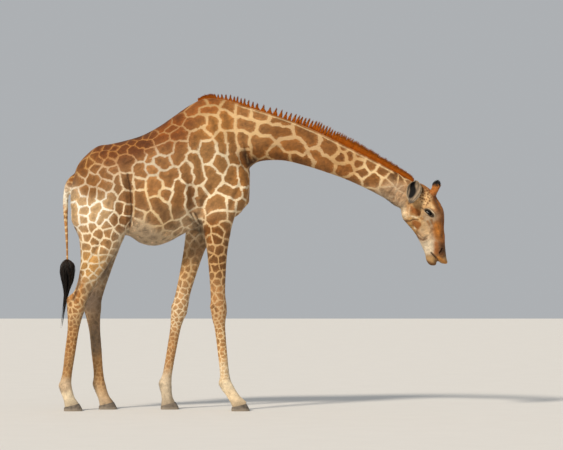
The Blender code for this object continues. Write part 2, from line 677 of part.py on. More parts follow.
def build():
    clear_scene()
    parts = new_collection("giraffe")
    shapes = new_collection("shapes")
    flesh = whole_flesh(shapes)

    def fitted(obj):
        return cut(obj, inflated(flesh, shapes), "fitted", shapes)

    for label, side in SIDES.items():
        finish(fitted(ear(side, shapes)), f"ear_{label}", "ear", parts)
        rows = [full_station(front, rear, half, side=side * y) for front, rear, half, y in OSSICONE.values()]
        finish(fitted(loft("ossicone", rows, shapes, steps=1, count=12)), f"ossicone_{label}", "horn", parts)
        eye = ball("eye", outward(EYE_PLACE, side), (EYE_RADIUS,) * 3, 0.0, shapes)
        finish(eye, f"eye_{label}", "eye", parts)
    finish(fitted(body_loft("mane", MANE, shapes, 1, 10)), "mane", "mane", parts)
    tail = fitted(body_loft("tail", TAIL, shapes, 2, 10))
    tuft = cut(body_loft("tail tuft", TAIL_TUFT, shapes, 2, 10), inflated(tail, shapes), "tuft", shapes)
    finish(tail, "tail", "coat", parts)
    finish(tuft, "tail_tuft", "black hair", parts)
    for name, leg in LEGS.items():
        for label, claw in claws(name, leg, shapes).items():
            finish(claw, f"claw_{name}_{label}", "hoof", parts)

    places = flesh_places()
    for piece in loose_parts(cut(flesh, parting_cutter(shapes), "flesh", shapes), shapes):
        middle = middle_of(piece)
        name = min(places, key=lambda key: (places[key] - middle).length)
        del places[name]
        material = "face" if name == "head" else "leg" if "leg" in name else "coat"
        finish(piece, name, material, parts)
    bpy.data.collections.remove(shapes)
    centre(parts)


def centre(parts):
    """Move the parts so that the middle of the box round them all stands on the origin."""
    corners = [vertex.co for obj in parts.objects for vertex in obj.data.vertices]
    middles = [(min(co[k] for co in corners) + max(co[k] for co in corners)) / 2 for k in (0, 1)]
    for obj in parts.objects:
        obj.data.transform(Matrix.Translation((-middles[0], -middles[1], 0.0)))


build()
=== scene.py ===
import math
from functools import partial

import bmesh
import bpy
import numpy as np
from mathutils import Matrix, Vector
from mathutils.bvhtree import BVHTree


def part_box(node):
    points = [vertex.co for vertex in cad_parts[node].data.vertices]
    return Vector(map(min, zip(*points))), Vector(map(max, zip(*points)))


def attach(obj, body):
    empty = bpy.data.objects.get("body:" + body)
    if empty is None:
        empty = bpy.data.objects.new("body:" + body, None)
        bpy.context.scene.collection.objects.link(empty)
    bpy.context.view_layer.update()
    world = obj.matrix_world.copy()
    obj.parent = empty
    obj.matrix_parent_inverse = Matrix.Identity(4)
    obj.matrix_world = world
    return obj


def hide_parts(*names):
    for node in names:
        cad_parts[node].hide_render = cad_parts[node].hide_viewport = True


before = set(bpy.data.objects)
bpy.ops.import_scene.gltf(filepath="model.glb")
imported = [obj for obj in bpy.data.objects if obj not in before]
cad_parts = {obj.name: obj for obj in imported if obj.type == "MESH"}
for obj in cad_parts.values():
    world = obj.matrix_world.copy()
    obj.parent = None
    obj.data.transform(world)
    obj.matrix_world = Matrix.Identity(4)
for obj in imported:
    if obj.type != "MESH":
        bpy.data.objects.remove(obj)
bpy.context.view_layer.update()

# The tables below are in the animal's own frame, and the eye's node says how far that lies from the world's
eyeBall = {"place": (1.492, 0.101, 1.693), "radius": 0.032}
eyeLow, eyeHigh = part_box("eye_right")
mirrored = np.array([1.0, -1.0, 1.0])
shift = np.array((eyeLow + eyeHigh) / 2) - np.array(eyeBall["place"]) * mirrored
shiftMatrix = Matrix.Translation(shift)

sides = {"right": -1, "left": 1}


def toLinear(hexColour):
    # sRGB hex to linear light
    parts = [int(hexColour[k:k + 2], 16) / 255 for k in (1, 3, 5)]
    return np.array([c / 12.92 if c <= 0.04045 else ((c + 0.055) / 1.055) ** 2.4 for c in parts])


def tones(table, *keys):
    return [toLinear(table[key]) for key in keys]


def feed(node, inputs):
    # each input, named or in order, gets its value, or a link from a socket or from a node's first output
    for key, value in inputs.items() if isinstance(inputs, dict) else enumerate(inputs):
        source = value.outputs[0] if isinstance(value, bpy.types.Node) else value
        if isinstance(source, bpy.types.NodeSocket):
            node.id_data.links.new(source, node.inputs[key])
        else:
            node.inputs[key].default_value = source


def addNode(tree, kind, inputs=(), **settings):
    # one node with its settings, input values and incoming links
    node = tree.nodes.new("ShaderNode" + kind)
    for key, value in settings.items():
        setattr(node, key, value)
    feed(node, inputs)
    return node


def newMaterial(name):
    # an empty node tree with a Principled shader and its output
    material = bpy.data.materials.new(name)
    material.use_nodes = True
    tree = material.node_tree
    tree.nodes.clear()
    shader = addNode(tree, "BsdfPrincipled")
    addNode(tree, "OutputMaterial", [shader])
    return material, partial(addNode, tree), shader


def unit(vectors):
    return vectors / np.maximum(np.linalg.norm(vectors, axis=-1, keepdims=True), 1e-9)


def smoothStep(low, high, values):
    share = np.clip((values - low) / (high - low), 0.0, 1.0)
    return share * share * (3.0 - 2.0 * share)


def ripple(places, size, seed, waves=12):
    # soft noise of about -1 to 1, a sum of waves about as long as size
    draw = np.random.default_rng(seed)
    ways = unit(draw.normal(size=(waves, 3)))
    pitch = 2 * math.pi / size * draw.uniform(0.6, 1.6, waves)
    phase = draw.uniform(0, 2 * math.pi, waves)
    return np.sin(places @ (ways * pitch[:, None]).T + phase).sum(1) * math.sqrt(1.0 / waves)


def folded(places):
    # both sides brought to the left one
    return places * np.array([1.0, 0.0, 1.0]) + np.abs(places) * np.array([0.0, 1.0, 0.0])


def asPath(numbers, size=2):
    # a row of numbers in mm as places in metres
    return np.reshape(numbers, (-1, size)) / 1000


def pathDistance(places, path):
    # distance from each place to a line of points, and the share of the line's length where it is nearest
    if len(path) == 1:
        return np.linalg.norm(places - path[0], axis=1), np.zeros(len(places))
    best = np.full(len(places), 1e9)
    where = np.zeros(len(places))
    runs = np.linalg.norm(np.diff(path, axis=0), axis=1)
    total, gone = runs.sum(), 0.0
    for start, end, run in zip(path, path[1:], runs):
        way = (end - start) / run
        share = np.clip((places - start) @ way, 0.0, run)
        distance = np.linalg.norm(places - start - share[:, None] * way, axis=1)
        nearer = distance < best
        best = np.where(nearer, distance, best)
        where = np.where(nearer, (gone + share) / total, where)
        gone += run
    return best, where


def newObject(name, points, faceSets, shifted=True):
    # a smooth-shaded mesh object from arrays of places and faces
    points = np.asarray(points, float) + (shift if shifted else 0.0)
    corners = np.concatenate([np.ravel(faces) for faces in faceSets])
    sizes = np.concatenate([np.full(len(faces), faces.shape[1]) for faces in faceSets])
    starts = np.concatenate([[0], np.cumsum(sizes)[:-1]])
    mesh = bpy.data.meshes.new(name)
    mesh.vertices.add(len(points))
    mesh.vertices.foreach_set("co", points.astype(np.float32).ravel())
    mesh.loops.add(len(corners))
    mesh.loops.foreach_set("vertex_index", corners.astype(np.int32))
    mesh.polygons.add(len(sizes))
    mesh.polygons.foreach_set("loop_start", starts.astype(np.int32))
    mesh.update(calc_edges=True)
    mesh.shade_smooth()
    obj = bpy.data.objects.new(name, mesh)
    bpy.context.scene.collection.objects.link(obj)
    return obj


def joinShapes(shapes):
    # several (places, face sets) as one
    points, faceSets, count = [], [], 0
    for places, sets in shapes:
        points.append(places)
        faceSets += [faces + count for faces in sets]
        count += len(places)
    return np.concatenate(points), faceSets


def overRings(rings):
    # the skin over a row of rings, with a fan of triangles at each end
    rows, count = rings.shape[:2]
    k = np.arange(count)
    after = (k + 1) % count
    base = (np.arange(rows - 1) * count)[:, None]
    quads = np.stack([base + k, base + after, base + count + after, base + count + k], -1).reshape(-1, 4)
    points = rings.reshape(-1, 3)
    ends = np.stack([rings[0].mean(0), rings[-1].mean(0)])
    first, last = len(points), len(points) + 1
    top = (rows - 1) * count
    fans = np.concatenate([
        np.stack([after, k, np.full(count, first)], -1),
        np.stack([top + k, top + after, np.full(count, last)], -1),
    ])
    return np.concatenate([points, ends]), [quads, fans]


def faceOutward(obj):
    bm = bmesh.new()
    bm.from_mesh(obj.data)
    bmesh.ops.recalc_face_normals(bm, faces=bm.faces)
    bm.to_mesh(obj.data)
    bm.free()
    return obj


def applied(obj, modifiers):
    # the object with modifiers applied to its mesh
    for kind, settings in modifiers:
        modifier = obj.modifiers.new(kind.title(), kind)
        for key, value in settings.items():
            setattr(modifier, key, value)
    bpy.context.view_layer.update()
    graph = bpy.context.evaluated_depsgraph_get()
    mesh = bpy.data.meshes.new_from_object(obj.evaluated_get(graph), depsgraph=graph)
    old = obj.data
    obj.modifiers.clear()
    obj.data = mesh
    bpy.data.meshes.remove(old)


def readMesh(obj):
    # places, normals and triangles of an object's mesh
    mesh = obj.data
    points = np.zeros(len(mesh.vertices) * 3, np.float32)
    normals = np.zeros(len(mesh.vertices) * 3, np.float32)
    mesh.vertices.foreach_get("co", points)
    mesh.vertex_normals.foreach_get("vector", normals)
    mesh.calc_loop_triangles()
    triangles = np.zeros(len(mesh.loop_triangles) * 3, np.int32)
    mesh.loop_triangles.foreach_get("vertices", triangles)
    points, normals = (values.reshape(-1, 3).astype(float) for values in (points, normals))
    return points, normals, triangles.reshape(-1, 3)


def writePlaces(obj, points):
    obj.data.vertices.foreach_set("co", points.astype(np.float32).ravel())
    obj.data.update()


def setAttribute(obj, name, kind, values, key="value", domain="POINT"):
    layer = obj.data.attributes.new(name, kind, domain)
    layer.data.foreach_set(key, np.ascontiguousarray(values, np.float32).ravel())


def setColours(obj, name, colours):
    full = np.concatenate([colours, np.ones((len(colours), 1))], 1)
    setAttribute(obj, name, "FLOAT_COLOR", full, "color")


def setUv(obj, uv):
    # uv holds one pair for each corner
    layer = obj.data.uv_layers.new(name="OFBake")
    layer.uv.foreach_set("vector", uv.astype(np.float32).ravel())


def finishPiece(obj, material, nodes=()):
    obj.data.materials.clear()
    obj.data.materials.append(material)
    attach(obj, "root")
    if nodes:
        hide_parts(*nodes)


# the giraffe's shape: cross-sections from end to end. A station is its front or upper point (x, height), its
# rear or lower point and its half width, in mm, and how far up from the lower point it is widest

trunkStations = {
    "pin bones": (-1572, 1905, -1568, 1760, 60), "buttock": (-1528, 2085, -1545, 1600, 160),
    "tail head": (-1450, 2190, -1480, 1450, 225, 0.5), "croup": (-1345, 2272, -1370, 1430, 262, 0.55),
    "hip bones": (-1240, 2290, -1240, 1440, 280, 0.58), "loin": (-1100, 2322, -1100, 1500, 285, 0.55),
    "last rib": (-960, 2366, -970, 1432, 315, 0.46), "mid back": (-820, 2440, -850, 1412, 330, 0.42),
    "back": (-690, 2530, -730, 1446, 322, 0.4), "behind withers": (-560, 2620, -610, 1510, 298, 0.38),
    "withers": (-430, 2682, -490, 1560, 268, 0.36), "shoulder": (-310, 2684, -370, 1575, 246, 0.36),
    "shoulder front": (-220, 2640, -240, 1600, 222, 0.38), "breast": (-110, 2300, -128, 1690, 160, 0.45),
    "breast front": (-32, 2060, -40, 1780, 85, 0.5),
}
neckStations = {
    "root": (-420, 2640, -300, 1900, 150), "base": (-230, 2672, -130, 1985, 158, 0.42),
    "above breast": (-75, 2620, -30, 2085, 146, 0.44), "lower": (100, 2566, 60, 2136, 126, 0.48),
    "lower middle": (300, 2500, 245, 2143, 111), "middle": (500, 2420, 420, 2104, 100),
    "upper middle": (700, 2324, 600, 2048, 91), "upper": (900, 2222, 785, 1982, 83),
    "nape": (1100, 2120, 975, 1896, 78), "throat": (1260, 2028, 1125, 1816, 80),
    "behind jaw": (1370, 1965, 1215, 1752, 84), "inside head": (1430, 1900, 1290, 1720, 70),
}
skullStations = {
    "nape": (1352, 1965, 1262, 1850, 60), "poll": (1425, 1950, 1290, 1790, 88),
    "crown": (1498, 1914, 1330, 1720, 108, 0.62), "horn base": (1556, 1862, 1350, 1672, 122, 0.64),
    "brow": (1588, 1797, 1362, 1628, 130, 0.6), "eye": (1631, 1724, 1392, 1580, 128, 0.58),
    "below eye": (1636, 1640, 1420, 1530, 103, 0.55), "cheek end": (1634, 1560, 1450, 1476, 80, 0.52),
    "nose bridge": (1643, 1478, 1474, 1424, 67, 0.5), "above nostril": (1649, 1400, 1496, 1374, 61, 0.48),
    "nostril": (1654, 1345, 1508, 1334, 60, 0.5), "upper lip": (1660, 1300, 1556, 1302, 56, 0.5),
    "lip edge": (1668, 1270, 1590, 1272, 46, 0.5), "lip tip": (1658, 1252, 1612, 1257, 26, 0.5),
}
jawStations = {
    "angle": (1360, 1745, 1262, 1720, 70), "cheek top": (1400, 1690, 1276, 1652, 92),
    "cheek": (1440, 1630, 1318, 1598, 90), "cheek bottom": (1470, 1560, 1362, 1545, 74),
    "bars": (1500, 1490, 1404, 1482, 56), "chin groove": (1524, 1410, 1443, 1402, 46),
    "corner": (1556, 1345, 1468, 1340, 43), "chin": (1568, 1292, 1478, 1290, 44),
    "lower lip": (1572, 1256, 1496, 1258, 36), "lower lip tip": (1560, 1239, 1518, 1240, 18),
}
tailStations = {
    "root": (-1500, 2060, -1480, 1960, 40), "dock": (-1566, 2025, -1535, 1950, 40),
    "bend": (-1622, 1955, -1570, 1920, 34), "upper": (-1645, 1840, -1588, 1840, 27),
    "middle": (-1640, 1660, -1597, 1660, 21), "lower": (-1625, 1460, -1594, 1460, 15),
    "end": (-1616, 1270, -1592, 1270, 11),
}
# by bone: share of the bone's length, front and rear reach from the bone's line and half width, in mm
hindStations = {
    "thigh": (
        (0.05, 150, 190, 95), (0.35, 200, 270, 118), (0.68, 185, 315, 124), (0.98, 120, 300, 108),
    ),
    "gaskin": (
        (0.15, 105, 245, 90), (0.35, 92, 180, 76), (0.55, 84, 122, 64), (0.78, 78, 76, 54),
        (0.98, 80, 88, 55),
    ),
    "cannon": (
        (0.09, 74, 84, 53), (0.2, 60, 68, 46), (0.36, 50, 52, 40), (0.6, 47, 50, 37), (0.82, 43, 46, 38),
        (0.95, 47, 54, 45),
    ),
    "pastern": (
        (0.05, 52, 58, 51), (0.35, 48, 58, 49), (0.7, 50, 54, 49), (1, 68, 62, 58), (1.14, 75, 66, 64),
        (1.26, 77, 67, 66),
    ),
}
foreStations = {
    "arm": (
        (0, 110, 120, 60), (0.3, 140, 165, 92), (0.7, 135, 190, 100),
    ),
    "forearm": (
        (0.02, 130, 140, 92), (0.15, 110, 120, 84), (0.35, 85, 96, 73), (0.6, 70, 78, 62),
        (0.82, 64, 68, 56), (0.96, 74, 66, 58),
    ),
    "cannon": (
        (0.04, 74, 66, 57), (0.14, 58, 62, 49), (0.26, 47, 50, 41), (0.55, 42, 45, 36), (0.84, 42, 44, 38),
        (0.97, 50, 56, 48),
    ),
    "pastern": (
        (0.18, 52, 58, 50), (0.45, 48, 53, 48), (0.75, 52, 53, 50), (1, 68, 62, 58), (1.14, 75, 66, 64),
        (1.26, 77, 67, 66),
    ),
}
hindBones = ("thigh", "gaskin", "cannon", "pastern")
foreBones = ("arm", "forearm", "cannon", "pastern")
hindSpread = (0.120, 0.165, 0.150, 0.148, 0.150)
foreSpread = (0.120, 0.160, 0.148, 0.146, 0.150)
legs = {
    "hindleg_right": {
        "bones": hindBones, "stations": hindStations, "spread": hindSpread, "side": -1,
        "joints": ((-1.330, 2.020), (-1.215, 1.500), (-1.510, 0.930), (-1.608, 0.215), (-1.560, 0.050)),
    },
    "hindleg_left": {
        "bones": hindBones, "stations": hindStations, "spread": hindSpread, "side": 1,
        "joints": ((-1.330, 2.020), (-1.235, 1.500), (-1.400, 0.930), (-1.335, 0.215), (-1.280, 0.050)),
    },
    "foreleg_right": {
        "bones": foreBones, "stations": foreStations, "spread": foreSpread, "side": -1,
        "joints": ((-0.190, 2.000), (-0.310, 1.620), (-0.304, 0.870), (-0.240, 0.230), (-0.130, 0.055)),
    },
    "foreleg_left": {
        "bones": foreBones, "stations": foreStations, "spread": foreSpread, "side": 1,
        "joints": ((-0.290, 2.000), (-0.450, 1.620), (-0.648, 0.870), (-0.764, 0.220), (-0.745, 0.050)),
    },
}
# swellings on both sides: centre and radii in mm, and tilt in the side view in degrees
muscles = {
    "buttock": (-1440, 110, 1830, 135, 105, 290, 3), "hip bone": (-1200, 160, 2160, 140, 72, 72, 12),
    "shoulder blade": (-330, 118, 2240, 130, 105, 340, -14),
    "shoulder point": (-190, 110, 1880, 145, 100, 230, 4), "orbit": (1490, 82, 1708, 75, 47, 54, 50),
    "cheek": (1385, 62, 1660, 115, 36, 75, 60), "nostril rim": (1606, 36, 1352, 36, 26, 62, -5),
}
# where the creases between two swellings are smoothed away: centre and reach in mm
blendZones = (
    (-1300, 200, 1850, 420), (-300, 180, 2000, 480), (-150, 80, 2400, 330), (-130, 120, 1900, 300),
    (-1190, 180, 2180, 300), (-1120, 180, 1550, 200), (-480, 200, 1620, 200), (1270, 40, 1850, 170),
    (1420, 70, 1600, 130), (-1530, 20, 1990, 90),
)
flesh = {
    "voxel": 0.007,         # size of the joined-up shape's cells
    "ringSteps": 8,         # rings between two stations
    "ringPoints": 56,
    "blendPasses": 48,
    "evenPasses": 7,
    "coatDepth": 0.004,     # how far the skin lies inside the solids
    "headDepth": 0.003,
    "triangles": 150000,
}


def refined(stations, steps):
    # smooth stations between the given ones
    rows = np.array(stations, float)
    last = len(rows) - 1
    found = []
    for index in range(last):
        before, start, end, after = (rows[min(max(index + k, 0), last)] for k in (-1, 0, 1, 2))
        for step in range(steps):
            share = step / steps
            square, cube = share ** 2, share ** 3
            found.append(
                before * (-0.5 * share + square - 0.5 * cube) + start * (1.0 - 2.5 * square + 1.5 * cube)
                + end * (0.5 * share + 2.0 * square - 1.5 * cube) + after * (-0.5 * square + 0.5 * cube)
            )
    return found + [rows[last]]


def fullStation(frontX, frontZ, rearX, rearZ, halfWidth, widest=0.5, square=2.0, side=0.0):
    return frontX, frontZ, rearX, rearZ, halfWidth, widest, square, side


def ringPlaces(station, count):
    # an egg-shaped superellipse between the front and the rear point
    frontX, frontZ, rearX, rearZ, halfWidth, widest, square, side = station
    front, rear = np.array([frontX, side, frontZ]), np.array([rearX, side, rearZ])
    middle = rear + (front - rear) * widest
    turn = np.arange(count) * 2 * math.pi / count
    along, across = np.cos(turn), np.sin(turn)
    reach = np.where((along > 0)[:, None], front - middle, rear - middle)
    places = middle + reach * np.abs(along)[:, None] ** (2.0 / square)
    places[:, 1] += np.sign(across) * np.abs(across) ** (2.0 / square) * halfWidth
    return places


def loftRings(rows, steps, count):
    return np.stack([ringPlaces(row, count) for row in refined(rows, steps)])


def legStation(leg, bone, share, *sizes):
    # square to the bone, and between two bones on the line that halves their bend
    joints, index = leg["joints"], leg["bones"].index(bone)
    front, rear, halfWidth = np.array(sizes) / 1000
    leans = [math.atan2(b[0] - a[0], a[1] - b[1]) for a, b in zip(joints, joints[1:])]
    neighbour = leans[max(index - 1, 0)] if share < 0.5 else leans[min(index + 1, len(leans) - 1)]
    lean = leans[index] + (neighbour - leans[index]) * abs(share - 0.5)
    (topX, topZ), (lowX, lowZ) = joints[index], joints[index + 1]
    x, z = topX + (lowX - topX) * share, topZ + (lowZ - topZ) * share
    spread = leg["spread"]
    side = leg["side"] * (spread[index] + (spread[index + 1] - spread[index]) * share)
    c, s = math.cos(lean), math.sin(lean)
    return fullStation(x + c * front, z + s * front, x - c * rear, z - s * rear, halfWidth, side=side)


def ballShape(centre, radii, tilt, segments=32, rings=16):
    # an ellipsoid tilted in the side view
    rise = np.linspace(-math.pi / 2, math.pi / 2, rings + 1)[1:-1]
    turn = np.arange(segments) * 2 * math.pi / segments
    places = np.stack([
        np.cos(rise)[:, None] * np.cos(turn), np.cos(rise)[:, None] * np.sin(turn),
        np.sin(rise)[:, None] * np.ones(segments),
    ], -1) * np.array(radii)
    lean = math.radians(tilt)
    turned = places.copy()
    turned[..., 0] = places[..., 0] * math.cos(lean) + places[..., 2] * math.sin(lean)
    turned[..., 2] = -places[..., 0] * math.sin(lean) + places[..., 2] * math.cos(lean)
    return overRings(turned + np.array(centre))


def wholeFlesh():
    # head, neck, trunk, tail and legs as one closed mesh
    steps, count = flesh["ringSteps"], flesh["ringPoints"]
    shapes = []
    for table in (trunkStations, neckStations, skullStations, jawStations, tailStations):
        rows = [fullStation(*[value / 1000 for value in row[:5]], *row[5:]) for row in table.values()]
        shapes.append(overRings(loftRings(rows, steps, count)))
    for leg in legs.values():
        rows = [legStation(leg, bone, *row) for bone, part in leg["stations"].items() for row in part]
        shapes.append(overRings(loftRings(rows, steps, count)))
    for *sizes, tilt in muscles.values():
        for side in sides.values():
            x, y, z, *radii = np.array(sizes) / 1000
            shapes.append(ballShape((x, y * side, z), radii, tilt))
    obj = faceOutward(newObject("skin", *joinShapes(shapes), shifted=False))
    applied(obj, [("REMESH", {"mode": "VOXEL", "voxel_size": flesh["voxel"]})])
    group = obj.vertex_groups.new(name="blend")
    points = folded(readMesh(obj)[0])
    zones = np.array(blendZones) / 1000
    share = np.max([1.0 - np.linalg.norm(points - zone[:3], axis=1) / zone[3] for zone in zones], axis=0)
    weights = np.clip(1.6 * share, 0.0, 1.0)
    for level in range(1, 11):
        chosen = np.nonzero(np.ceil(weights * 10) == level)[0]
        group.add(chosen.tolist(), level / 10, "REPLACE")
    applied(obj, [
        ("SMOOTH", {"factor": 0.5, "iterations": flesh["blendPasses"], "vertex_group": "blend"}),
        ("SMOOTH", {"factor": 0.5, "iterations": flesh["evenPasses"]}),
    ])
    return obj


# folds and hollows of the skin: width, depth (below zero stands proud) and path (x, height), in mm
mouthPath = (1522, 1352, 1540, 1332, 1560, 1312, 1580, 1292)
folds = {
    "flank and hip": (
        (20, 22, -1085, 2000, -1050, 1860, -1040, 1700, -1060, 1570),
        (22, -8, -1115, 1940, -1090, 1800, -1082, 1660, -1098, 1570), (70, 12, -1060, 2140, -1020, 2060),
    ),
    "shoulder, armpit and elbow": (
        (30, 19, -545, 1980, -520, 1840, -525, 1680), (14, 13, -560, 1660, -505, 1600, -455, 1575),
        (7.5, 7, -535, 1690, -503, 1630, -478, 1580), (7.5, 7, -500, 1690, -475, 1635, -458, 1595),
        (14, 7, -590, 1600, -530, 1545, -480, 1530), (30, -8, -360, 2460, -330, 2280, -285, 2080),
        (36, 9, -450, 2380, -435, 2200, -415, 2020), (34, 8, -245, 2360, -215, 2200, -185, 2060),
        (26, 9, -345, 1930, -405, 1800, -440, 1700), (22, 8, -85, 1980, -150, 1840, -205, 1700),
    ),
    "neck and throat": (
        (12, 6, 50, 2120, 15, 2200, -10, 2300), (12, 12, -5, 2085, -45, 2170, -75, 2270),
        (12, 10, -45, 2035, -95, 2120, -130, 2210), (11, 4, 110, 2130, 95, 2190, 80, 2260),
        (20, 6, 60, 2255, 300, 2235, 560, 2165, 800, 2065, 1050, 1965),
        (18, 5, 150, 2475, 420, 2385, 700, 2262, 980, 2120, 1220, 2000),
        (9, 4, 1150, 1822, 1175, 1875, 1215, 1925), (9, 5, 1195, 1800, 1215, 1850, 1250, 1895),
        (9, 4, 1235, 1765, 1255, 1815, 1285, 1860),
    ),
    "ribs": (
        (20, -3.5, -700, 2100, -740, 1880, -735, 1680), (20, -3.5, -775, 2100, -820, 1880, -820, 1680),
        (20, -3.5, -850, 2080, -900, 1880, -905, 1700), (20, -3, -925, 2060, -975, 1900, -985, 1760),
    ),
    "thigh and stifle": (
        (26, 9, -1440, 2080, -1425, 1900, -1440, 1680, -1470, 1500),
        (70, -7, -1250, 1950, -1215, 1800, -1200, 1660), (26, 7, -1270, 1530, -1300, 1440, -1335, 1360),
    ),
    "face": (
        (14, 4, 1300, 1690, 1340, 1610, 1385, 1545, 1425, 1470),
        (13, -5, 1480, 1640, 1530, 1560, 1560, 1480), (20, 6, 1455, 1600, 1490, 1520, 1510, 1440),
        (14, 3, 1590, 1600, 1602, 1500, 1600, 1420), (20, 7, 1445, 1800, 1480, 1765), (5, 7, *mouthPath),
        (6, 5.5, 1262, 1632, 1300, 1628, 1340, 1618, 1368, 1636, 1412, 1634),
        (11, 8, 1392, 1520, 1430, 1480, 1462, 1468, 1500, 1492),
        (11, -4, 1540, 1640, 1585, 1560, 1608, 1480), (10, 4, 1500, 1610, 1530, 1545, 1545, 1480),
    ),
    "sinews, near side": ((13, 16, -1470, 1190, -1492, 1100, -1518, 1010, -1535, 945),),
    "sinews, far side": ((13, 10, -1385, 1150, -1405, 1060, -1425, 960),),
}
# the same along paths in space, on both sides: forehead, nose, orbit and lip
spaceFolds = (
    (30, -5.5, 1590, 0, 1815, 1612, 0, 1760), (17, -4.5, 1618, 0, 1730, 1640, 0, 1600, 1650, 0, 1460),
    (14, 5.5, 1592, 52, 1700, 1622, 43, 1590, 1634, 38, 1470),
    (20, 5.5, 1560, 62, 1840, 1590, 66, 1780, 1596, 70, 1720),
    (12, -4.5, 1480, 112, 1775, 1530, 105, 1755, 1560, 95, 1710), (6, 3.5, 1652, 0, 1330, 1655, 0, 1270),
)
nostril = {
    "path": (1617, 54, 1384, 1608, 59, 1367, 1596, 61, 1352),     # on the left side, in mm
    "width": 0.0060,
    "depth": 0.016,
    "rim": 0.0040,
}
lids = {
    "axis": (0.30, 0.95, 0.05),       # way that the eye looks, on the left side
    "long": (0.79, 0.0, -0.61),       # from its rear corner to its front one
    "halfLength": 0.0350,
    "upperHeight": 0.0172,
    "lowerHeight": 0.0152,
    "thickness": 0.0030,
    # brow, the hollow below it and the bag: height, place above the eye, thickness, half length
    "ridges": ((0.0055, 0.034, 0.01, 0.034), (-0.005, 0.0235, 0.0045, 0.03),
               (-0.003, -0.0215, 0.0045, 0.028)),
    "lashes": 150, "upperLashes": 110,
}
# bands of colour round the eye: how far out (1 on the opening's edge), how wide, up or down,
# forward or back, colour, strength
lidBands = {
    "wet edge": (1.08, 0.19, 0, 0, "soot", 0.95),
    "upper lid": (1.56, 0.24, 0.85, 0.45, "cream", 0.92),
    "lid fold": (1.98, 0.12, 0.9, 0.2, "mocha", 0.72),
    "rear edge": (1.40, 0.13, -0.4, -0.9, "chalk", 0.72),
    "under lid": (1.66, 0.20, -1, 0.1, "honey", 0.55),
    "tear corner": (1.40, 0.26, -0.2, 1, "peat", 0.90),
    "rear corner": (1.36, 0.22, 0.45, -1, "peat", 0.80),
}


def sculptFolds(points, normals):
    # press each fold in, or raise it, along the skin's own normal
    moved = np.zeros(len(points))
    places = folded(points)
    facing = smoothStep(0.25, 0.75, np.abs(normals[:, 1]))
    rows = [(row, places, 1.0) for row in spaceFolds]
    for name, group in folds.items():
        side = -1 if "near side" in name else 1 if "far side" in name else 0
        reached = facing * (points[:, 1] * side >= 0)
        rows += [(row, places[:, [0, 2]], reached) for row in group]
    for (widthMm, depthMm, *path), spots, reached in rows:
        width, depth = widthMm / 1000, depthMm / 1000
        distance, share = pathDistance(spots, asPath(path, spots.shape[1]))
        fade = np.clip(np.minimum(share, 1 - share) * 6 + 0.25, 0.0, 1.0)
        shape = np.exp(-(distance / width) ** 2) - 0.35 * np.exp(-((distance - 1.9 * width) / width) ** 2)
        moved -= depth * shape * fade * reached
    return points + normals * moved[:, None]


# in metres. Grooves beside the sinews: bone, share of its length, place across it, width and depth; bones
# that show: joint, place beside it (x, height), reach and height
legBones = {
    "grooves": ((1, 0.55, -0.052, 0.012, 0.007), (1, 0.62, 0.03, 0.012, 0.003),
                (2, 0.62, -0.02, 0.008, 0.0045)),
    "fore": ((2, 0.03, 0.035, 0.035, 0.006), (2, 0.03, -0.035, 0.035, 0.006), (2, -0.06, 0.02, 0.03, 0.008),
             (2, 0.06, 0.0, 0.014, -0.005)),
    "hind": ((2, -0.082, 0.03, 0.034, 0.008), (2, 0.035, -0.02, 0.045, 0.005),
             (2, -0.045, 0.1, 0.04, -0.01)),
    "fetlock": ((3, -0.050, 0.010, 0.030, 0.007), (3, 0.010, -0.075, 0.028, -0.003)),
}


def sculptLegs(points, normals):
    # grooves between bone and sinews, and the hard bones that show at knee, hock and fetlock
    moved = np.zeros(len(points))
    facing = smoothStep(0.3, 0.8, np.abs(normals[:, 1]))
    for name, leg in legs.items():
        joints = np.array([(x, leg["side"] * y, z) for (x, z), y in zip(leg["joints"], leg["spread"])])
        near = np.abs(points[:, 1] - leg["side"] * 0.15) < 0.10
        for index, middle, place, width, depth in legBones["grooves"]:
            start, end = joints[index], joints[index + 1]
            run = np.linalg.norm(end - start)
            way = (end - start) / run
            share = ((points - start) @ way) / run
            offset = points - start - (share * run)[:, None] * way
            frontward = offset[:, 0] * np.sign(way[2]) * -1.0
            inRange = smoothStep(middle - 0.42, middle - 0.25, share) * (1 - smoothStep(0.80, 0.93, share))
            shape = np.exp(-((frontward - place) / width) ** 2) * inRange
            moved -= depth * shape * near * facing
        for joint, x, z, reach, height in legBones[name[:4]] + legBones["fetlock"]:
            distance = np.linalg.norm((points - (joints[joint] + (x, 0, z))) * (1.0, 0.55, 1.0), axis=1)
            moved += height * np.exp(-(distance / reach) ** 2)
    return points + normals * moved[:, None]


def settledSkin(obj):
    # the flesh with its folds, drawn in by the coat's depth and thinned where it is plain
    points, normals, _ = readMesh(obj)
    points = sculptLegs(sculptFolds(points, normals), normals)
    writePlaces(obj, points)
    points, normals, _ = readMesh(obj)
    onHead = smoothStep(1.15, 1.35, points[:, 0])
    onLegs = 1 - smoothStep(1.15, 1.45, points[:, 2])
    depth = flesh["coatDepth"] - (flesh["coatDepth"] - flesh["headDepth"]) * np.maximum(onHead, onLegs)
    writePlaces(obj, points - normals * depth[:, None])
    group = obj.vertex_groups.new(name="keep")
    group.add(np.nonzero(points[:, 0] > 1.22)[0].tolist(), 1.0, "REPLACE")
    faces = sum(len(polygon.vertices) - 2 for polygon in obj.data.polygons)
    applied(obj, [("DECIMATE", {"ratio": flesh["triangles"] / faces, "vertex_group": "keep",
                                "invert_vertex_group": True, "vertex_group_factor": 1.0})])
    return obj


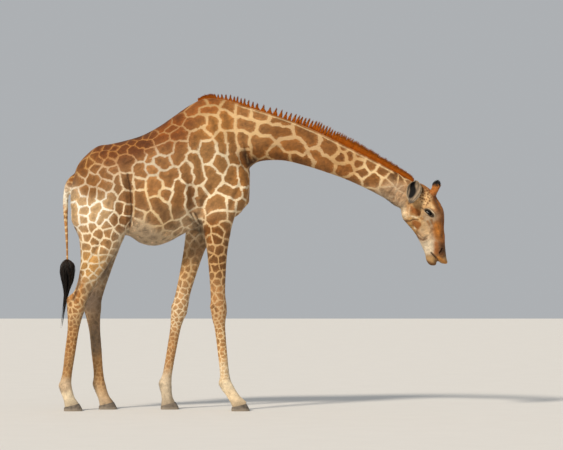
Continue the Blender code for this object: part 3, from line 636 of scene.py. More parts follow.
def refineNear(obj, zones):
    # halve the edges inside each ball (centre, reach), on both sides
    bm = bmesh.new()
    bm.from_mesh(obj.data)
    bm.verts.ensure_lookup_table()
    places = folded(np.array([vert.co for vert in bm.verts]))
    inside = np.zeros(len(places), bool)
    for centre, reach in zones:
        inside |= np.linalg.norm(places - np.array(centre), axis=1) < reach
    edges = [edge for edge in bm.edges if inside[edge.verts[0].index] and inside[edge.verts[1].index]]
    bmesh.ops.subdivide_edges(bm, edges=edges, cuts=1, use_grid_fill=True)
    bmesh.ops.triangulate(bm, faces=bm.faces[:])
    bm.to_mesh(obj.data)
    bm.free()


def eyeFrame(side):
    # centre, outward axis, long way and upward way of an eye
    centre = np.array(eyeBall["place"]) * (1, side, 1)
    axis = unit(np.array(lids["axis"]) * (1, side, 1))
    long = np.array(lids["long"]) * (1, side, 1)
    long = unit(long - axis * (long @ axis))
    up = np.cross(axis, long) * side
    return centre, axis, long, up if up[2] > 0 else -up


def almond(along):
    # upper and lower edge of the eye's opening at a place along it
    share = np.clip(1 - (along / lids["halfLength"]) ** 2, 0.0, 1.0)
    return lids["upperHeight"] * share ** 0.75, -lids["lowerHeight"] * share ** 0.9


def aroundEye(points):
    # for each place the way out from the nearer eye's opening (1 on its edge), and the direction there
    reach, upward, forward = np.full(len(points), 9.0), np.zeros(len(points)), np.zeros(len(points))
    for side in sides.values():
        centre, axis, long, up = eyeFrame(side)
        offset = points - centre
        s, t = offset @ long / lids["halfLength"], offset @ up
        t = t / np.where(t > 0, lids["upperHeight"], lids["lowerHeight"])
        near = (np.linalg.norm(offset, axis=1) < 0.12) & (offset @ axis > -0.02)
        away = np.where(near, np.hypot(s, t), 9.0)
        nearer = away < reach
        reach = np.where(nearer, away, reach)
        upward = np.where(nearer, t / np.maximum(away, 0.1), upward)
        forward = np.where(nearer, s / np.maximum(away, 0.1), forward)
    return reach, upward, forward


def sculptEyes(points):
    radius, thick = eyeBall["radius"], lids["thickness"]
    for side in sides.values():
        centre, axis, long, up = eyeFrame(side)
        offset = points - centre
        s, t, h = offset @ long, offset @ up, offset @ axis
        distance = np.hypot(s, t)
        near = (distance < 0.075) & (h > -0.02)
        high, low = almond(s)
        inside = near & (t < high) & (t > low)
        # the lid hugs the ball and melts into the orbit
        cap = np.sqrt(np.clip((radius + thick) ** 2 - distance ** 2, 0, None)) - 0.0005
        sink = -0.004 * (1 - smoothStep(radius * 0.55, radius * 1.15, distance))
        target = h + np.maximum(cap - h, sink) * (1 - smoothStep(radius * 0.95, radius * 1.25, distance))
        for height, above, thickness, halfLength in lids["ridges"]:
            target = target + height * np.exp(-((t - above) / thickness) ** 2 - (s / halfLength) ** 2)
        sunk = np.sqrt(np.clip(radius ** 2 - distance ** 2, 0, None)) - 0.009
        target = np.where(inside, np.minimum(sunk, target), target)
        points = points + np.where(near, target - h, 0.0)[:, None] * axis
    return points


def sculptNostrils(points, normals):
    distance, _ = pathDistance(folded(points), asPath(nostril["path"], 3))
    hole = np.exp(-(distance / nostril["width"]) ** 4)
    rim = np.exp(-((distance - 2.1 * nostril["width"]) / nostril["width"]) ** 2)
    inward = np.array([-0.35, 0.0, 0.2]) - np.sign(points[:, [1]]) * [0.0, 0.9, 0.0]
    return points + normals * (nostril["rim"] * rim)[:, None] + inward * (nostril["depth"] * hole)[:, None]


def makeSkin():
    obj = settledSkin(wholeFlesh())
    eyeZone, nose = eyeBall["place"], asPath(nostril["path"], 3)[1]
    mouth = [((x, 0.03, z), 0.034) for x, z in asPath(mouthPath)]
    cheekAndTemple = [((1.40, 0.08, 1.64), 0.10), ((1.46, 0.09, 1.82), 0.09)]
    refineNear(obj, [(eyeZone, 0.085), (nose, 0.060)] + cheekAndTemple + mouth)
    refineNear(obj, [(eyeZone, 0.052), (nose, 0.034)])
    points, normals, _ = readMesh(obj)
    writePlaces(obj, trimFeet(sculptEyes(sculptNostrils(points, normals))))
    return obj


def legLine(leg):
    rows = [(x, leg["side"] * y, z) for (x, z), y in zip(leg["joints"][1:], leg["spread"][1:])]
    top = leg["joints"][0]
    return [(top[0], leg["side"] * 0.15, top[1] - 0.28)] + rows


# the coat's lie and unwrap. Each centre line: its places with the flesh's radius there, the way the hair
# lies on its sides, where the unwrap's seam is turned away from, and its tile (left, low, width, height)
centreLines = {
    "trunk": {
        "line": ((-1.52, 0, 1.86), (-1.25, 0, 1.87), (-0.95, 0, 1.90), (-0.70, 0, 1.98), (-0.42, 0, 2.10),
                 (-0.20, 0, 2.10), (-0.06, 0, 1.95)),
        "radii": (0.26, 0.36, 0.40, 0.46, 0.44, 0.32, 0.18), "lie": (-0.85, 0.0, -0.52),
        "outer": (0, 0, 1), "tile": (0.01, 0.01, 0.56, 0.48),
    },
    "neck": {
        "line": ((-0.24, 0, 2.40), (0.08, 0, 2.35), (0.27, 0, 2.32), (0.46, 0, 2.262), (0.65, 0, 2.186),
                 (0.84, 0, 2.102), (1.04, 0, 2.008), (1.19, 0, 1.922), (1.28, 0, 1.868)),
        "radii": (0.26, 0.21, 0.17, 0.155, 0.14, 0.122, 0.115, 0.11, 0.11), "lie": None, "backward": True,
        "outer": (0, 0, 1), "tile": (0.585, 0.01, 0.405, 0.48),
    },
    "head": {
        "line": ((1.36, 0, 1.85), (1.42, 0, 1.77), (1.49, 0, 1.66), (1.54, 0, 1.52), (1.575, 0, 1.38),
                 (1.60, 0, 1.27)),
        "radii": (0.11, 0.12, 0.12, 0.09, 0.07, 0.05), "lie": None, "backward": True,
        "outer": (0.925, 0, 0.379), "tile": (0.585, 0.51, 0.405, 0.38),
    },
    "tail": {
        "line": ((-1.55, 0, 1.985), (-1.605, 0, 1.93), (-1.617, 0, 1.84), (-1.618, 0, 1.66),
                 (-1.609, 0, 1.46), (-1.604, 0, 1.27)),
        "radii": (0.045, 0.036, 0.028, 0.021, 0.016, 0.012), "lie": None, "backward": False,
        "outer": (-1, 0, 0), "tile": (0.585, 0.90, 0.405, 0.09),
    },
}
for index, (legName, leg) in enumerate(legs.items()):
    radii = (0.22, 0.155, 0.075, 0.055, 0.055) if "hind" in legName else (0.18, 0.125, 0.072, 0.052, 0.055)
    centreLines[legName] = {
        "line": legLine(leg), "radii": radii, "lie": None, "backward": False,
        "outer": (0, leg["side"], 0), "tile": (0.01 + 0.142 * index, 0.51, 0.134, 0.48),
    }


def nearestOn(places, row):
    # length share along a centre line, the scaled and the true offset, and the line's way there
    line, radii = np.array(row["line"], float), np.array(row["radii"])
    runs = np.linalg.norm(np.diff(line, axis=0), axis=1)
    gone, total = np.concatenate([[0], np.cumsum(runs)]), runs.sum()
    best = np.full(len(places), 1e9)
    share, offset, way = np.zeros(len(places)), np.zeros_like(places), np.zeros_like(places)
    for k, run in enumerate(runs):
        step = (line[k + 1] - line[k]) / run
        low = -1.0 if k == 0 else 0.0
        high = run + (1.0 if k == len(runs) - 1 else 0.0)
        reach = np.clip((places - line[k]) @ step, low, high)
        clipped = np.clip(reach, 0, run)
        away = places - line[k] - clipped[:, None] * step
        scaled = np.linalg.norm(away, axis=1) / (radii[k] + (radii[k + 1] - radii[k]) * clipped / run)
        nearer = scaled < best
        best = np.where(nearer, scaled, best)
        share = np.where(nearer, (gone[k] + reach) / total, share)
        offset = np.where(nearer[:, None], away, offset)
        way = np.where(nearer[:, None], step, way)
    return share, best, offset, way


def bodyMap(places, normals):
    # for each place: its region, the way its hair lies, and its unwrapped places in every region
    names = list(centreLines)
    scaledRows, ways, unwraps = [], [], []
    for name in names:
        row = centreLines[name]
        share, scaled, offset, way = nearestOn(places, row)
        scaledRows.append(scaled)
        if row["lie"] is not None:
            ways.append(np.broadcast_to(row["lie"], places.shape))
        else:
            ways.append(-way if row["backward"] else way)
        outer = np.array(row["outer"], float)
        middle = unit(np.array(row["line"])[-1] - np.array(row["line"])[0])
        outer = unit(outer - middle * (outer @ middle))
        across = np.cross(middle, outer)
        angle = np.arctan2(offset @ across, offset @ outer) / (2 * math.pi)
        unwraps.append(np.stack([angle, np.clip(share, -0.25, 1.25)], -1))
    scaled = np.stack(scaledRows, -1)
    region = scaled.argmin(1)
    weights = 1.0 / np.maximum(scaled, 0.05) ** 7
    weights /= weights.sum(1, keepdims=True)
    lie = sum(weights[:, k:k + 1] * ways[k] for k in range(len(names)))
    lie = lie - normals * (lie * normals).sum(1, keepdims=True)
    return region, unit(lie), np.stack(unwraps, 1)


def unwrapCorners(corners, regionOf, unwraps):
    # one pair for each corner of each triangle, whole triangles on one tile
    names = list(centreLines)
    region = regionOf[corners[:, 0]]
    pairs = unwraps[corners, region[:, None]]
    angle, share = pairs[..., 0], pairs[..., 1]
    first = angle[:, :1]
    angle = first + (angle - first + 0.5) % 1.0 - 0.5
    tiles = np.array([centreLines[name]["tile"] for name in names])[region]
    u = np.clip(0.5 + angle * 0.94, 0.0, 1.0)
    v = np.clip(0.12 + share * 0.76, 0.0, 1.0)
    return np.stack([tiles[:, :1] + u * tiles[:, 2:3], tiles[:, 1:2] + v * tiles[:, 3:4]], -1)


# the coat's markings: middles of the patches on the right side, as x and height in mm; points in one row
# belong to one patch
shoulderPatches = (
    (-647, 2484), (-538, 2459, -455, 2492), (-354, 2500, -354, 2417), (-254, 2534, -220, 2459),
    (-421, 2580, -346, 2584), (-505, 2593, -446, 2635), (-354, 2656, -287, 2647), (-245, 2618, -178, 2597),
    (-120, 2584, -53, 2551), (14.5, 2543, 73, 2526), (-94.5, 2467, -27.5, 2434),
    (110, 2435, 190, 2390, 270, 2385), (-94, 2340, -78, 2270), (23, 2316, 48, 2224, 107, 2283),
    (-275, 2340, -266, 2249), (-195, 2333, -178, 2249, -157, 2157), (-505, 2350, -421, 2350, -471, 2283),
    (-421, 2258, -362.5, 2249, -404, 2166), (-295, 2124, -254, 2099), (-371, 2040, -329, 1981, -379, 1914),
    (-178, 2048, -187, 1973), (-94, 2048, -61, 1956), (-57, 1872), (-228, 1885, -145, 1856),
    (-371, 1747, -287, 1806, -262, 1755), (-187, 1755), (-111, 1747), (-337, 1655, -254, 1663),
    (-178, 1655), (-630, 1906, -647, 1814, -630, 1705), (-530, 1864, -522, 1764), (-450, 1864, -462, 1790),
    (-622, 2249, -647, 2149), (-559, 2065, -555, 1981), (-488, 2132, -463, 2040, -463, 1981),
    (-681, 2358, -605, 2367), (-80, 2190, -40, 2130), (-362, 1554), (-245, 1571, -220, 1520), (-287, 1520),
    (-390, 1460),
)
trunkPatches = (
    (-787, 2428, -747, 2448), (-698, 2411), (-819, 2322, -763, 2347), (-860, 2371), (-925, 2359),
    (-981, 2347), (-965, 2294, -892, 2282), (-779, 2233, -722, 2249), (-1038, 2298), (-1127, 2290),
    (-1038, 2237, -981, 2209, -965, 2160), (-884, 2217, -900, 2152, -852, 2185), (-803, 2144, -755, 2120),
    (-1119, 2152, -1054, 2144, -1103, 2087), (-973, 2079, -957, 2023), (-876, 2071),
    (-747, 1990, -682, 2023, -730, 1950), (-876, 1958, -819, 1934, -852, 1877), (-981, 1950), (-755, 1853),
    (-965, 1828, -949, 1755), (-836, 1772, -795, 1731, -771, 1650), (-981, 1666), (-876, 1634, -836, 1610),
    (-706, 1561, -660, 1570),
)
hipPatches = (
    (-1330, 2257), (-1257, 2262), (-1184, 2249), (-1130, 2233, -1100, 2250), (-1289, 2201), (-1192, 2193),
    (-1362, 2168, -1321, 2136), (-1406, 2140), (-1232, 2120), (-1354, 2079), (-1471, 2112, -1459, 2039),
    (-1281, 2047, -1232, 2015), (-1196, 2055), (-1402, 1982, -1354, 1982), (-1532, 1982, -1500, 1958),
    (-1451, 1885), (-1289, 1934, -1241, 1909), (-1168, 1974, -1159, 1885), (-1087, 1990, -1062, 1925),
    (-1119, 1836, -1062, 1836), (-1378, 1853, -1394, 1788), (-1305, 1853), (-1200, 1836, -1249, 1755),
    (-1516, 1845, -1475, 1788), (-1135, 1731), (-1091, 1707), (-1346, 1723, -1370, 1650), (-1443, 1723),
    (-1265, 1683, -1305, 1634), (-1184, 1634), (-1111, 1634), (-1540, 1723, -1532, 1642), (-1459, 1634),
    (-1362, 1561), (-1257, 1582), (-1451, 1561), (-1127, 1553),
)
neckPatches = (
    (196, 2507, 270, 2484), (410, 2410, 470, 2370, 510, 2310), (290, 2270, 360, 2250, 400, 2230),
    (200, 2220, 240, 2165), (380, 2155, 450, 2150), (522, 2186, 596, 2130, 643, 2083),
    (652, 2335, 615, 2250, 671, 2241), (764, 2163), (745, 2070, 800, 2060), (792, 2270, 895, 2204),
    (829, 2195), (909, 2111), (927, 2032), (862, 1971), (1016, 2111), (1000, 1960, 1050, 1970),
    (1104, 2060), (1137, 1934), (1202, 1990), (1286, 1962), (1146, 1887),
)
markings = {
    # height, and the patches' spacing there
    "spacing": ((2.4, 0.145), (1.62, 0.095), (1.5, 0.066), (1.2, 0.055), (0.95, 0.044), (0.8, 0.03),
                (0.2, 0.026)),
    "warp": 0.0045,         # how far the patches' edges wander
    "warpSize": 0.11,
    "round": 0.012,         # rounding of their corners
    "lineShare": 0.80,      # of the half widths below
    "toneSpread": 0.085,    # how much one patch differs from the next in depth of colour
    "farJitter": 0.022,     # how far the left side's patches differ from the right's
    "headSpacing": 0.050, "tailSpacing": 0.042,
}

# hair colours of hide and coat, and of the painted shade and highlights laid over it, from the darkest to the
# palest
pelt = {
    "soot": "#140D08", "peat": "#26180E", "bark": "#3C2513", "umber": "#553217", "cocoa": "#6A3914",
    "walnut": "#5E3F22", "coffee": "#544334", "mocha": "#6C4724", "chestnut": "#7E4414",
    "russet": "#725031", "sorrel": "#7E4E21", "rust": "#8D5322", "cinnamon": "#88582A", "hazel": "#6E5E50",
    "copper": "#8A5D31", "ginger": "#885F38", "clay": "#985C2B", "taupe": "#A46428", "fawn": "#96683B",
    "bronze": "#8D7357", "amber": "#A36F38", "caramel": "#9E7243", "toffee": "#A0774B", "camel": "#B67230",
    "honey": "#9D7E5C", "khaki": "#BE803E", "tan": "#B1854D", "sand": "#B18D5E", "dune": "#A79177",
    "straw": "#C99353", "wheat": "#BE9766", "biscuit": "#C2A075", "oat": "#BDA587", "buff": "#C1B198",
    "flax": "#D5B281", "linen": "#DEC193", "chalk": "#DBC5A2", "cream": "#DFCDAD", "ivory": "#EFDBB8",
    "milk": "#EFEADB",
}
# the coat's colours by place, on the left half: place in mm, patch, ground, half width of the lines in mm,
# and how strongly the place pulls
coatTints = {
    "shoulder and breast": (
        (-420, 100, 2620, "rust", "sand", 15, 1), (-300, 200, 2450, "amber", "flax", 14, 1),
        (-350, 250, 2150, "caramel", "cream", 14, 1), (-300, 240, 1850, "caramel", "ivory", 13, 1),
        (-80, 120, 1950, "amber", "ivory", 11, 1), (-50, 0, 1900, "amber", "linen", 10, 0.8),
        (-380, 0, 1560, "honey", "chalk", 9, 0.6),
    ),
    "neck": (
        (0, 140, 2400, "fawn", "flax", 18, 1), (0, 60, 2120, "sorrel", "wheat", 12, 1),
        (250, 100, 2330, "cinnamon", "biscuit", 19, 1), (260, 20, 2150, "sorrel", "wheat", 14, 1),
        (520, 90, 2270, "cinnamon", "biscuit", 19, 1), (800, 80, 2140, "sorrel", "wheat", 18, 1),
        (1050, 70, 2030, "cinnamon", "linen", 12, 1), (1250, 30, 2030, "mocha", "flax", 6, 1),
        (1220, 60, 1880, "ginger", "oat", 5, 0.55), (1150, 0, 1830, "bronze", "dune", 9, 0.6),
    ),
    "back and rump": (
        (-720, 120, 2420, "chestnut", "toffee", 9, 1), (-750, 0, 2490, "cocoa", "copper", 7, 1),
        (-980, 140, 2280, "cocoa", "amber", 7, 1), (-1000, 0, 2360, "umber", "cinnamon", 6, 1),
        (-1250, 120, 2240, "cocoa", "amber", 9, 1), (-1450, 120, 2100, "sorrel", "tan", 9, 1),
        (-1605, 0, 1350, "amber", "flax", 6, 0.9), (-1530, 20, 2030, "sorrel", "tan", 9, 1),
    ),
    "hip and thigh": (
        (-1380, 220, 1950, "copper", "oat", 9, 1), (-1520, 150, 1750, "biscuit", "milk", 11, 1),
        (-1530, 20, 1800, "buff", "milk", 11, 0.8), (-1300, 250, 1700, "biscuit", "milk", 10, 1),
        (-1130, 240, 1650, "ginger", "ivory", 9, 1), (-1300, 240, 1480, "toffee", "ivory", 9, 1),
    ),
    "ribs and belly": (
        (-850, 300, 2080, "fawn", "buff", 12, 1), (-850, 330, 1870, "fawn", "linen", 13, 1),
        (-800, 280, 1650, "ginger", "linen", 12, 0.95), (-1030, 280, 1800, "ginger", "chalk", 10, 1),
        (-920, 200, 1520, "bronze", "oat", 14, 0.3), (-850, 0, 1430, "honey", "oat", 14, 0.2),
        (-1150, 50, 1470, "bronze", "oat", 12, 0.25), (-630, 300, 1850, "fawn", "ivory", 12, 1),
        (-520, 180, 1580, "caramel", "ivory", 9, 0.75),
    ),
    "hind legs": (
        # the rows 70 to 100 mm from the middle lie on the legs' inner sides: their darker, greyer tints are
        # painted shade
        (-1400, 220, 1250, "tan", "cream", 8, 1), (-1360, 70, 1250, "coffee", "hazel", 8, 0.45),
        (-1530, 200, 950, "fawn", "flax", 8, 1), (-1450, 90, 950, "coffee", "hazel", 8, 0.4),
        (-1560, 180, 600, "copper", "wheat", 3.2, 0.9), (-1585, 180, 340, "ginger", "sand", 2.8, 0.8),
        (-1400, 100, 600, "hazel", "bronze", 3.5, 0.6), (-1360, 190, 360, "fawn", "wheat", 4, 0.8),
        (-1600, 190, 220, "dune", "oat", 4, 0.25), (-1570, 190, 120, "buff", "cream", 4, 0.2),
    ),
    "forelegs": (
        (-320, 230, 1300, "mocha", "wheat", 9, 1), (-380, 220, 1520, "sorrel", "flax", 9, 1),
        # the first row here lies on the forearms' inner side: its darker tint is painted shade
        (-420, 70, 1350, "russet", "honey", 8, 0.5), (-300, 200, 880, "fawn", "biscuit", 7, 0.85),
        (-280, 180, 550, "caramel", "linen", 4, 0.95), (-240, 180, 300, "sand", "cream", 3.6, 0.7),
        (-205, 180, 235, "oat", "cream", 3, 0.2), (-170, 190, 150, "oat", "chalk", 4, 0.15),
        (-550, 220, 1250, "caramel", "flax", 8, 0.95), (-660, 200, 880, "toffee", "chalk", 6, 0.9),
        (-710, 180, 500, "fawn", "biscuit", 4, 0.85), (-750, 190, 140, "dune", "buff", 4, 0.15),
    ),
    "tail": (
        (-1620, 0, 1650, "amber", "linen", 10, 0.95),
    ),
    "head": (
        (1545, 20, 1860, "rust", "clay", 3, 0.5), (1450, 40, 1940, "rust", "amber", 6, 0.6),
        (1585, 50, 1780, "sorrel", "taupe", 3, 0.5), (1635, 0, 1620, "cocoa", "chestnut", 3, 0.5),
        (1590, 60, 1560, "taupe", "camel", 5, 0.5), (1645, 0, 1450, "clay", "taupe", 3, 0.5),
        (1650, 20, 1370, "walnut", "russet", 3, 0.5), (1600, 60, 1330, "russet", "ginger", 3, 0.5),
        (1640, 30, 1275, "toffee", "biscuit", 3, 0.5), (1520, 30, 1250, "walnut", "russet", 3, 0.5),
        (1500, 50, 1400, "buff", "buff", 3, 0.3), (1460, 70, 1500, "dune", "oat", 5, 0.4),
        (1390, 90, 1620, "sand", "sand", 7, 0.3), (1360, 85, 1720, "fawn", "caramel", 7, 0.3),
        (1350, 30, 1600, "amber", "tan", 6, 0.3), (1460, 100, 1840, "straw", "flax", 5, 0.3),
        (1500, 110, 1620, "honey", "dune", 5, 0.4), (1270, 0, 1760, "honey", "dune", 6, 0.4),
    ),
}

# strokes of colour laid over the coat on both sides: colour, width in mm, strength, how crisp the edge is
# (2 soft, 6 crisp), and path in the side view in mm
strokes = {
    "jaw and cheek": (
        ("chalk", 28, 0.8, 2, 1285, 1722, 1298, 1662), ("wheat", 22, 0.75, 2, 1330, 1772, 1400, 1768),
        ("biscuit", 34, 0.75, 2, 1455, 1600, 1480, 1530),
        ("tan", 20, 0.75, 3, 1302, 1600, 1345, 1560, 1388, 1522),
        ("flax", 18, 0.85, 3, 1465, 1772, 1500, 1764, 1536, 1742),
        ("mocha", 26, 0.8, 3, 1410, 1935, 1440, 1880),
        ("rust", 25, 0.92, 8, 1376, 1712, 1398, 1700, 1410, 1686), ("clay", 11, 0.9, 6, 1350, 1742),
        ("rust", 24, 0.92, 8, 1380, 1606, 1412, 1594, 1398, 1572),
        ("fawn", 10, 0.75, 5, 1432, 1652, 1446, 1640),
        ("chalk", 7, 0.5, 3, 1330, 1668, 1362, 1662, 1394, 1653, 1425, 1664),
        ("flax", 6, 0.5, 3, 1425, 1664, 1440, 1700, 1434, 1745),
        ("chalk", 7, 0.35, 3, 1336, 1742, 1328, 1700, 1336, 1665),
        # the ivory row here is a painted highlight on the cheek
        ("cream", 8, 0.55, 3, 1362, 1662, 1392, 1652), ("ivory", 6, 0.7, 3, 1376, 1566, 1390, 1556),
        # the next three rows are painted shade: in the cheek's crease, in the crease along the jaw's edge, and
        # under the ear
        ("umber", 6.2, 0.8, 3, 1268, 1628, 1305, 1625, 1340, 1618, 1368, 1636, 1412, 1634),
        ("umber", 11, 0.85, 3, 1385, 1518, 1418, 1480, 1448, 1464, 1480, 1474),
        ("umber", 9.5, 0.8, 3, 1330, 1772, 1352, 1792, 1374, 1816),
        ("toffee", 20, 0.6, 2, 1400, 1535, 1445, 1500),
    ),
    "under the eye": (
        ("fawn", 11, 0.75, 4, 1488, 1618, 1505, 1590), ("copper", 10, 0.75, 4, 1520, 1632, 1532, 1600),
        ("russet", 9, 0.6, 2, 1528, 1556, 1512, 1524),
    ),
    "nose and brow": (
        ("camel", 26, 0.85, 3, 1560, 1600, 1575, 1540, 1580, 1480),
        ("cocoa", 10, 0.5, 2, 1596, 1640, 1606, 1560, 1606, 1480),
        ("rust", 14, 0.75, 3, 1622, 1690, 1628, 1600, 1632, 1500),
        ("umber", 22, 0.75, 2, 1545, 1808, 1568, 1760, 1590, 1715),
        ("cocoa", 14, 0.8, 3, 1528, 1872, 1548, 1815),
    ),
    "muzzle": (
        ("rust", 26, 0.9, 3, 1565, 1430, 1570, 1360), ("umber", 26, 0.85, 2, 1612, 1430, 1618, 1345),
        ("khaki", 17, 0.9, 4, 1580, 1305, 1620, 1285, 1648, 1264),
        ("cinnamon", 8, 0.6, 3, 1600, 1262, 1640, 1250), ("sand", 26, 0.85, 3, 1500, 1310, 1535, 1290),
        ("mocha", 14, 0.85, 2, 1505, 1250, 1545, 1250),
        ("bark", 6.5, 0.9, 4, 1522, 1352, 1540, 1332, 1560, 1312, 1580, 1290),
        ("umber", 5.5, 0.65, 3, 1428, 1744, 1452, 1728),
    ),
    "dewlap": (
        # painted shade among the folds at the foot of the neck, with thin painted highlights on the folds'
        # ridges
        ("bark", 30, 0.78, 2, -85, 2215, -60, 2160, -35, 2110, 10, 2150),
        ("wheat", 5.5, 0.65, 3, -62, 2195, -50, 2125), ("sand", 5, 0.55, 3, -22, 2175, -8, 2140),
    ),
    "shoulder and armpit": (
        # painted shade in the crease behind the shoulder
        ("umber", 34, 0.54, 2, -530, 1930, -517, 1820, -515, 1710),
        # the armpit's wrinkles: dark painted shade in the creases, pale painted highlights on the ridges
        ("bark", 6, 0.75, 3, -538, 1690, -505, 1630, -478, 1580),
        ("bark", 6, 0.75, 3, -502, 1690, -476, 1635, -458, 1595),
        ("chalk", 6, 0.7, 3, -520, 1690, -490, 1632, -466, 1586),
        ("chalk", 6, 0.6, 3, -552, 1665, -522, 1612, -486, 1562),
        # painted shade deep in the armpit
        ("peat", 22, 0.75, 2, -505, 1556, -462, 1540),
    ),
    "throat": (
        # dark lines in the throat's creases: painted shade
        ("mocha", 6, 0.6, 3, 1195, 1800, 1215, 1850), ("mocha", 6, 0.6, 3, 1235, 1765, 1255, 1815),
        ("russet", 12, 0.45, 2, 1130, 1872, 1190, 1862),
    ),
    "elbow and flank": (
        # painted shade in the elbow's fold and in the flank's fold, with a painted highlight along the flank
        # fold's edge
        ("bark", 14, 0.6, 2, -540, 1640, -500, 1600, -455, 1580),
        ("bark", 9.5, 0.85, 3, -1075, 2020, -1048, 1860, -1040, 1700, -1058, 1580),
        ("flax", 7.5, 0.65, 3, -1024, 1900, -1016, 1780, -1020, 1660),
    ),
    "hock and knee": (
        # the first row is painted shade in the groove before the sinew
        ("umber", 11, 0.8, 3, -1478, 1190, -1496, 1100, -1520, 1010, -1535, 950),
        ("amber", 15, 0.55, 3, -1505, 1190, -1530, 1100, -1556, 1010, -1575, 940),
        ("khaki", 13, 0.55, 2, -1455, 1110, -1480, 1020, -1500, 950),
        ("mocha", 7, 0.55, 3, -1520, 965, -1500, 930, -1476, 905),
        ("walnut", 8, 0.6, 3, -352, 900, -330, 880, -318, 850),
    ),
}
# the same along paths in space, on the left half
spaceStrokes = {
    # the nostril painted near black: its dark rim skin, and painted shade in the hole
    "nostril": ("soot", 10, 0.95, 6, *nostril["path"]),
    "nostril shade": ("bark", 20, 0.6, 2, *nostril["path"]),
    "mane edge": ("taupe", 16, 0.8, 3, -300, 30, 2665, 0, 30, 2600, 300, 30, 2495, 600, 30, 2370,
                  900, 30, 2218, 1200, 20, 2060),
    "mane line": ("linen", 8.5, 0.75, 3, -200, 50, 2622, 0, 50, 2576, 300, 50, 2476, 600, 50, 2350,
                  900, 48, 2198, 1200, 40, 2040),
    "hock callus": ("russet", 20, 0.5, 2, -1600, 150, 960, -1605, 150, 900),
}
# small round spots of the temple: middle and reach of their field, gap and size, colour
templeSpots = {
    "middle": (1.47, 1.832), "reach": (0.052, 0.074), "gap": 0.018, "size": 0.0072, "colour": "cocoa",
}


def seedsFor(points, onCoat):
    # the middles of all patches on the skin: the named ones, the left side's own, and a fill of the rest
    draw = np.random.default_rng(11)
    places, owners = [], []
    nearPlaces = points[points[:, 1] < -0.02]
    farPlaces = points[points[:, 1] > 0.02]
    for owner, patch in enumerate(shoulderPatches + trunkPatches + hipPatches + neckPatches):
        for x, z in asPath(patch):
            distance = np.hypot(nearPlaces[:, 0] - x, nearPlaces[:, 2] - z)
            close = nearPlaces[distance < max(0.012, distance.min() + 0.004)]
            places.append(close[close[:, 1].argmin()])
            owners.append(owner)
    jitter = draw.normal(size=(owner + 1, 3)) * markings["farJitter"]
    for place, rightOwner in list(zip(places, owners)):
        wanted = place * mirrored + jitter[rightOwner]
        places.append(farPlaces[np.linalg.norm(farPlaces - wanted, axis=1).argmin()])
        owners.append(rightOwner + owner + 1)
    heights, gaps = zip(*sorted(markings["spacing"]))
    spots = points[draw.permutation(np.nonzero(onCoat)[0])]
    room = np.interp(spots[:, 2], heights, gaps)
    room = np.where(spots[:, 0] > 1.30, markings["headSpacing"], room)
    onTail = (np.abs(spots[:, 1]) < 0.04) & (spots[:, 0] < -1.56)
    room = np.where(onTail, markings["tailSpacing"], room)
    free = np.ones(len(spots), bool)
    for place in places:
        free &= np.linalg.norm(spots - place, axis=1) > room * 0.98
    index = np.nonzero(free)[0]
    while len(index):
        k, rest = index[0], index[1:]
        places.append(spots[k])
        owners.append(owners[-1] + 1)
        index = rest[np.linalg.norm(spots[rest] - spots[k], axis=1) > room[rest]]
    return np.array(places), np.array(owners)


def patchBorders(triangles, points, places, owners):
    # at the corners of each triangle, the distances past the half-way planes between the nearest patches:
    # first to second patch, first to a third, second to a third; and each triangle's first two patches
    warped = points.copy()
    for k in range(3):
        warped[:, k] += markings["warp"] * ripple(points, markings["warpSize"], 40 + k)
        warped[:, k] += 0.4 * markings["warp"] * ripple(points, markings["warpSize"] * 0.3, 50 + k)
    centres = warped[triangles].mean(1)
    between = np.maximum(np.linalg.norm(places[:, None] - places[None], axis=2), 1e-4)
    sameOwner = owners[:, None] == owners[None]
    chosen = np.zeros((len(triangles), 4), int)
    for start in range(0, len(centres), 8000):
        block = centres[start:start + 8000]
        rows = np.arange(len(block))
        square = (block ** 2).sum(1)[:, None] + (places ** 2).sum(1)[None] - 2 * block @ places.T
        first = square.argmin(1)
        into = (square - square[rows, first][:, None]) / between[first]
        into[sameOwner[first]] = 1e3
        second = into.argmin(1)
        into[sameOwner[second]] = 1e3
        third = into.argmin(1)
        into = (square - square[rows, second][:, None]) / between[second]
        into[sameOwner[second] | sameOwner[first]] = 1e3
        chosen[start:start + 8000] = np.stack([first, second, third, into.argmin(1)], -1)
    corners = warped[triangles]

    def past(start, end):
        start, end = chosen[:, start], chosen[:, end]
        away, toward = (((corners - places[k][:, None]) ** 2).sum(2) for k in (end, start))
        return (away - toward) / (2 * between[start, end])[:, None]

    return np.stack([past(0, 1), past(0, 2), past(1, 3)], -1), owners[chosen[:, :2]]


def coatField(points):
    # patch and ground colours, line width and strength blended between the named places
    rows = [row for group in coatTints.values() for row in group]
    middles = np.array([row[:3] for row in rows]) / 1000
    values = [(*toLinear(pelt[patch]), *toLinear(pelt[ground]), line / 1000, strength)
              for _, _, _, patch, ground, line, strength in rows]
    places = folded(points)
    result = np.zeros((len(points), 8))
    for start in range(0, len(points), 20000):
        block = places[start:start + 20000]
        square = ((block[:, None] - middles[None]) ** 2).sum(2) + 0.0004
        weights = square ** -2.2
        result[start:start + 20000] = weights @ values / weights.sum(1, keepdims=True)
    return result[:, :3], result[:, 3:6], result[:, 6], result[:, 7]


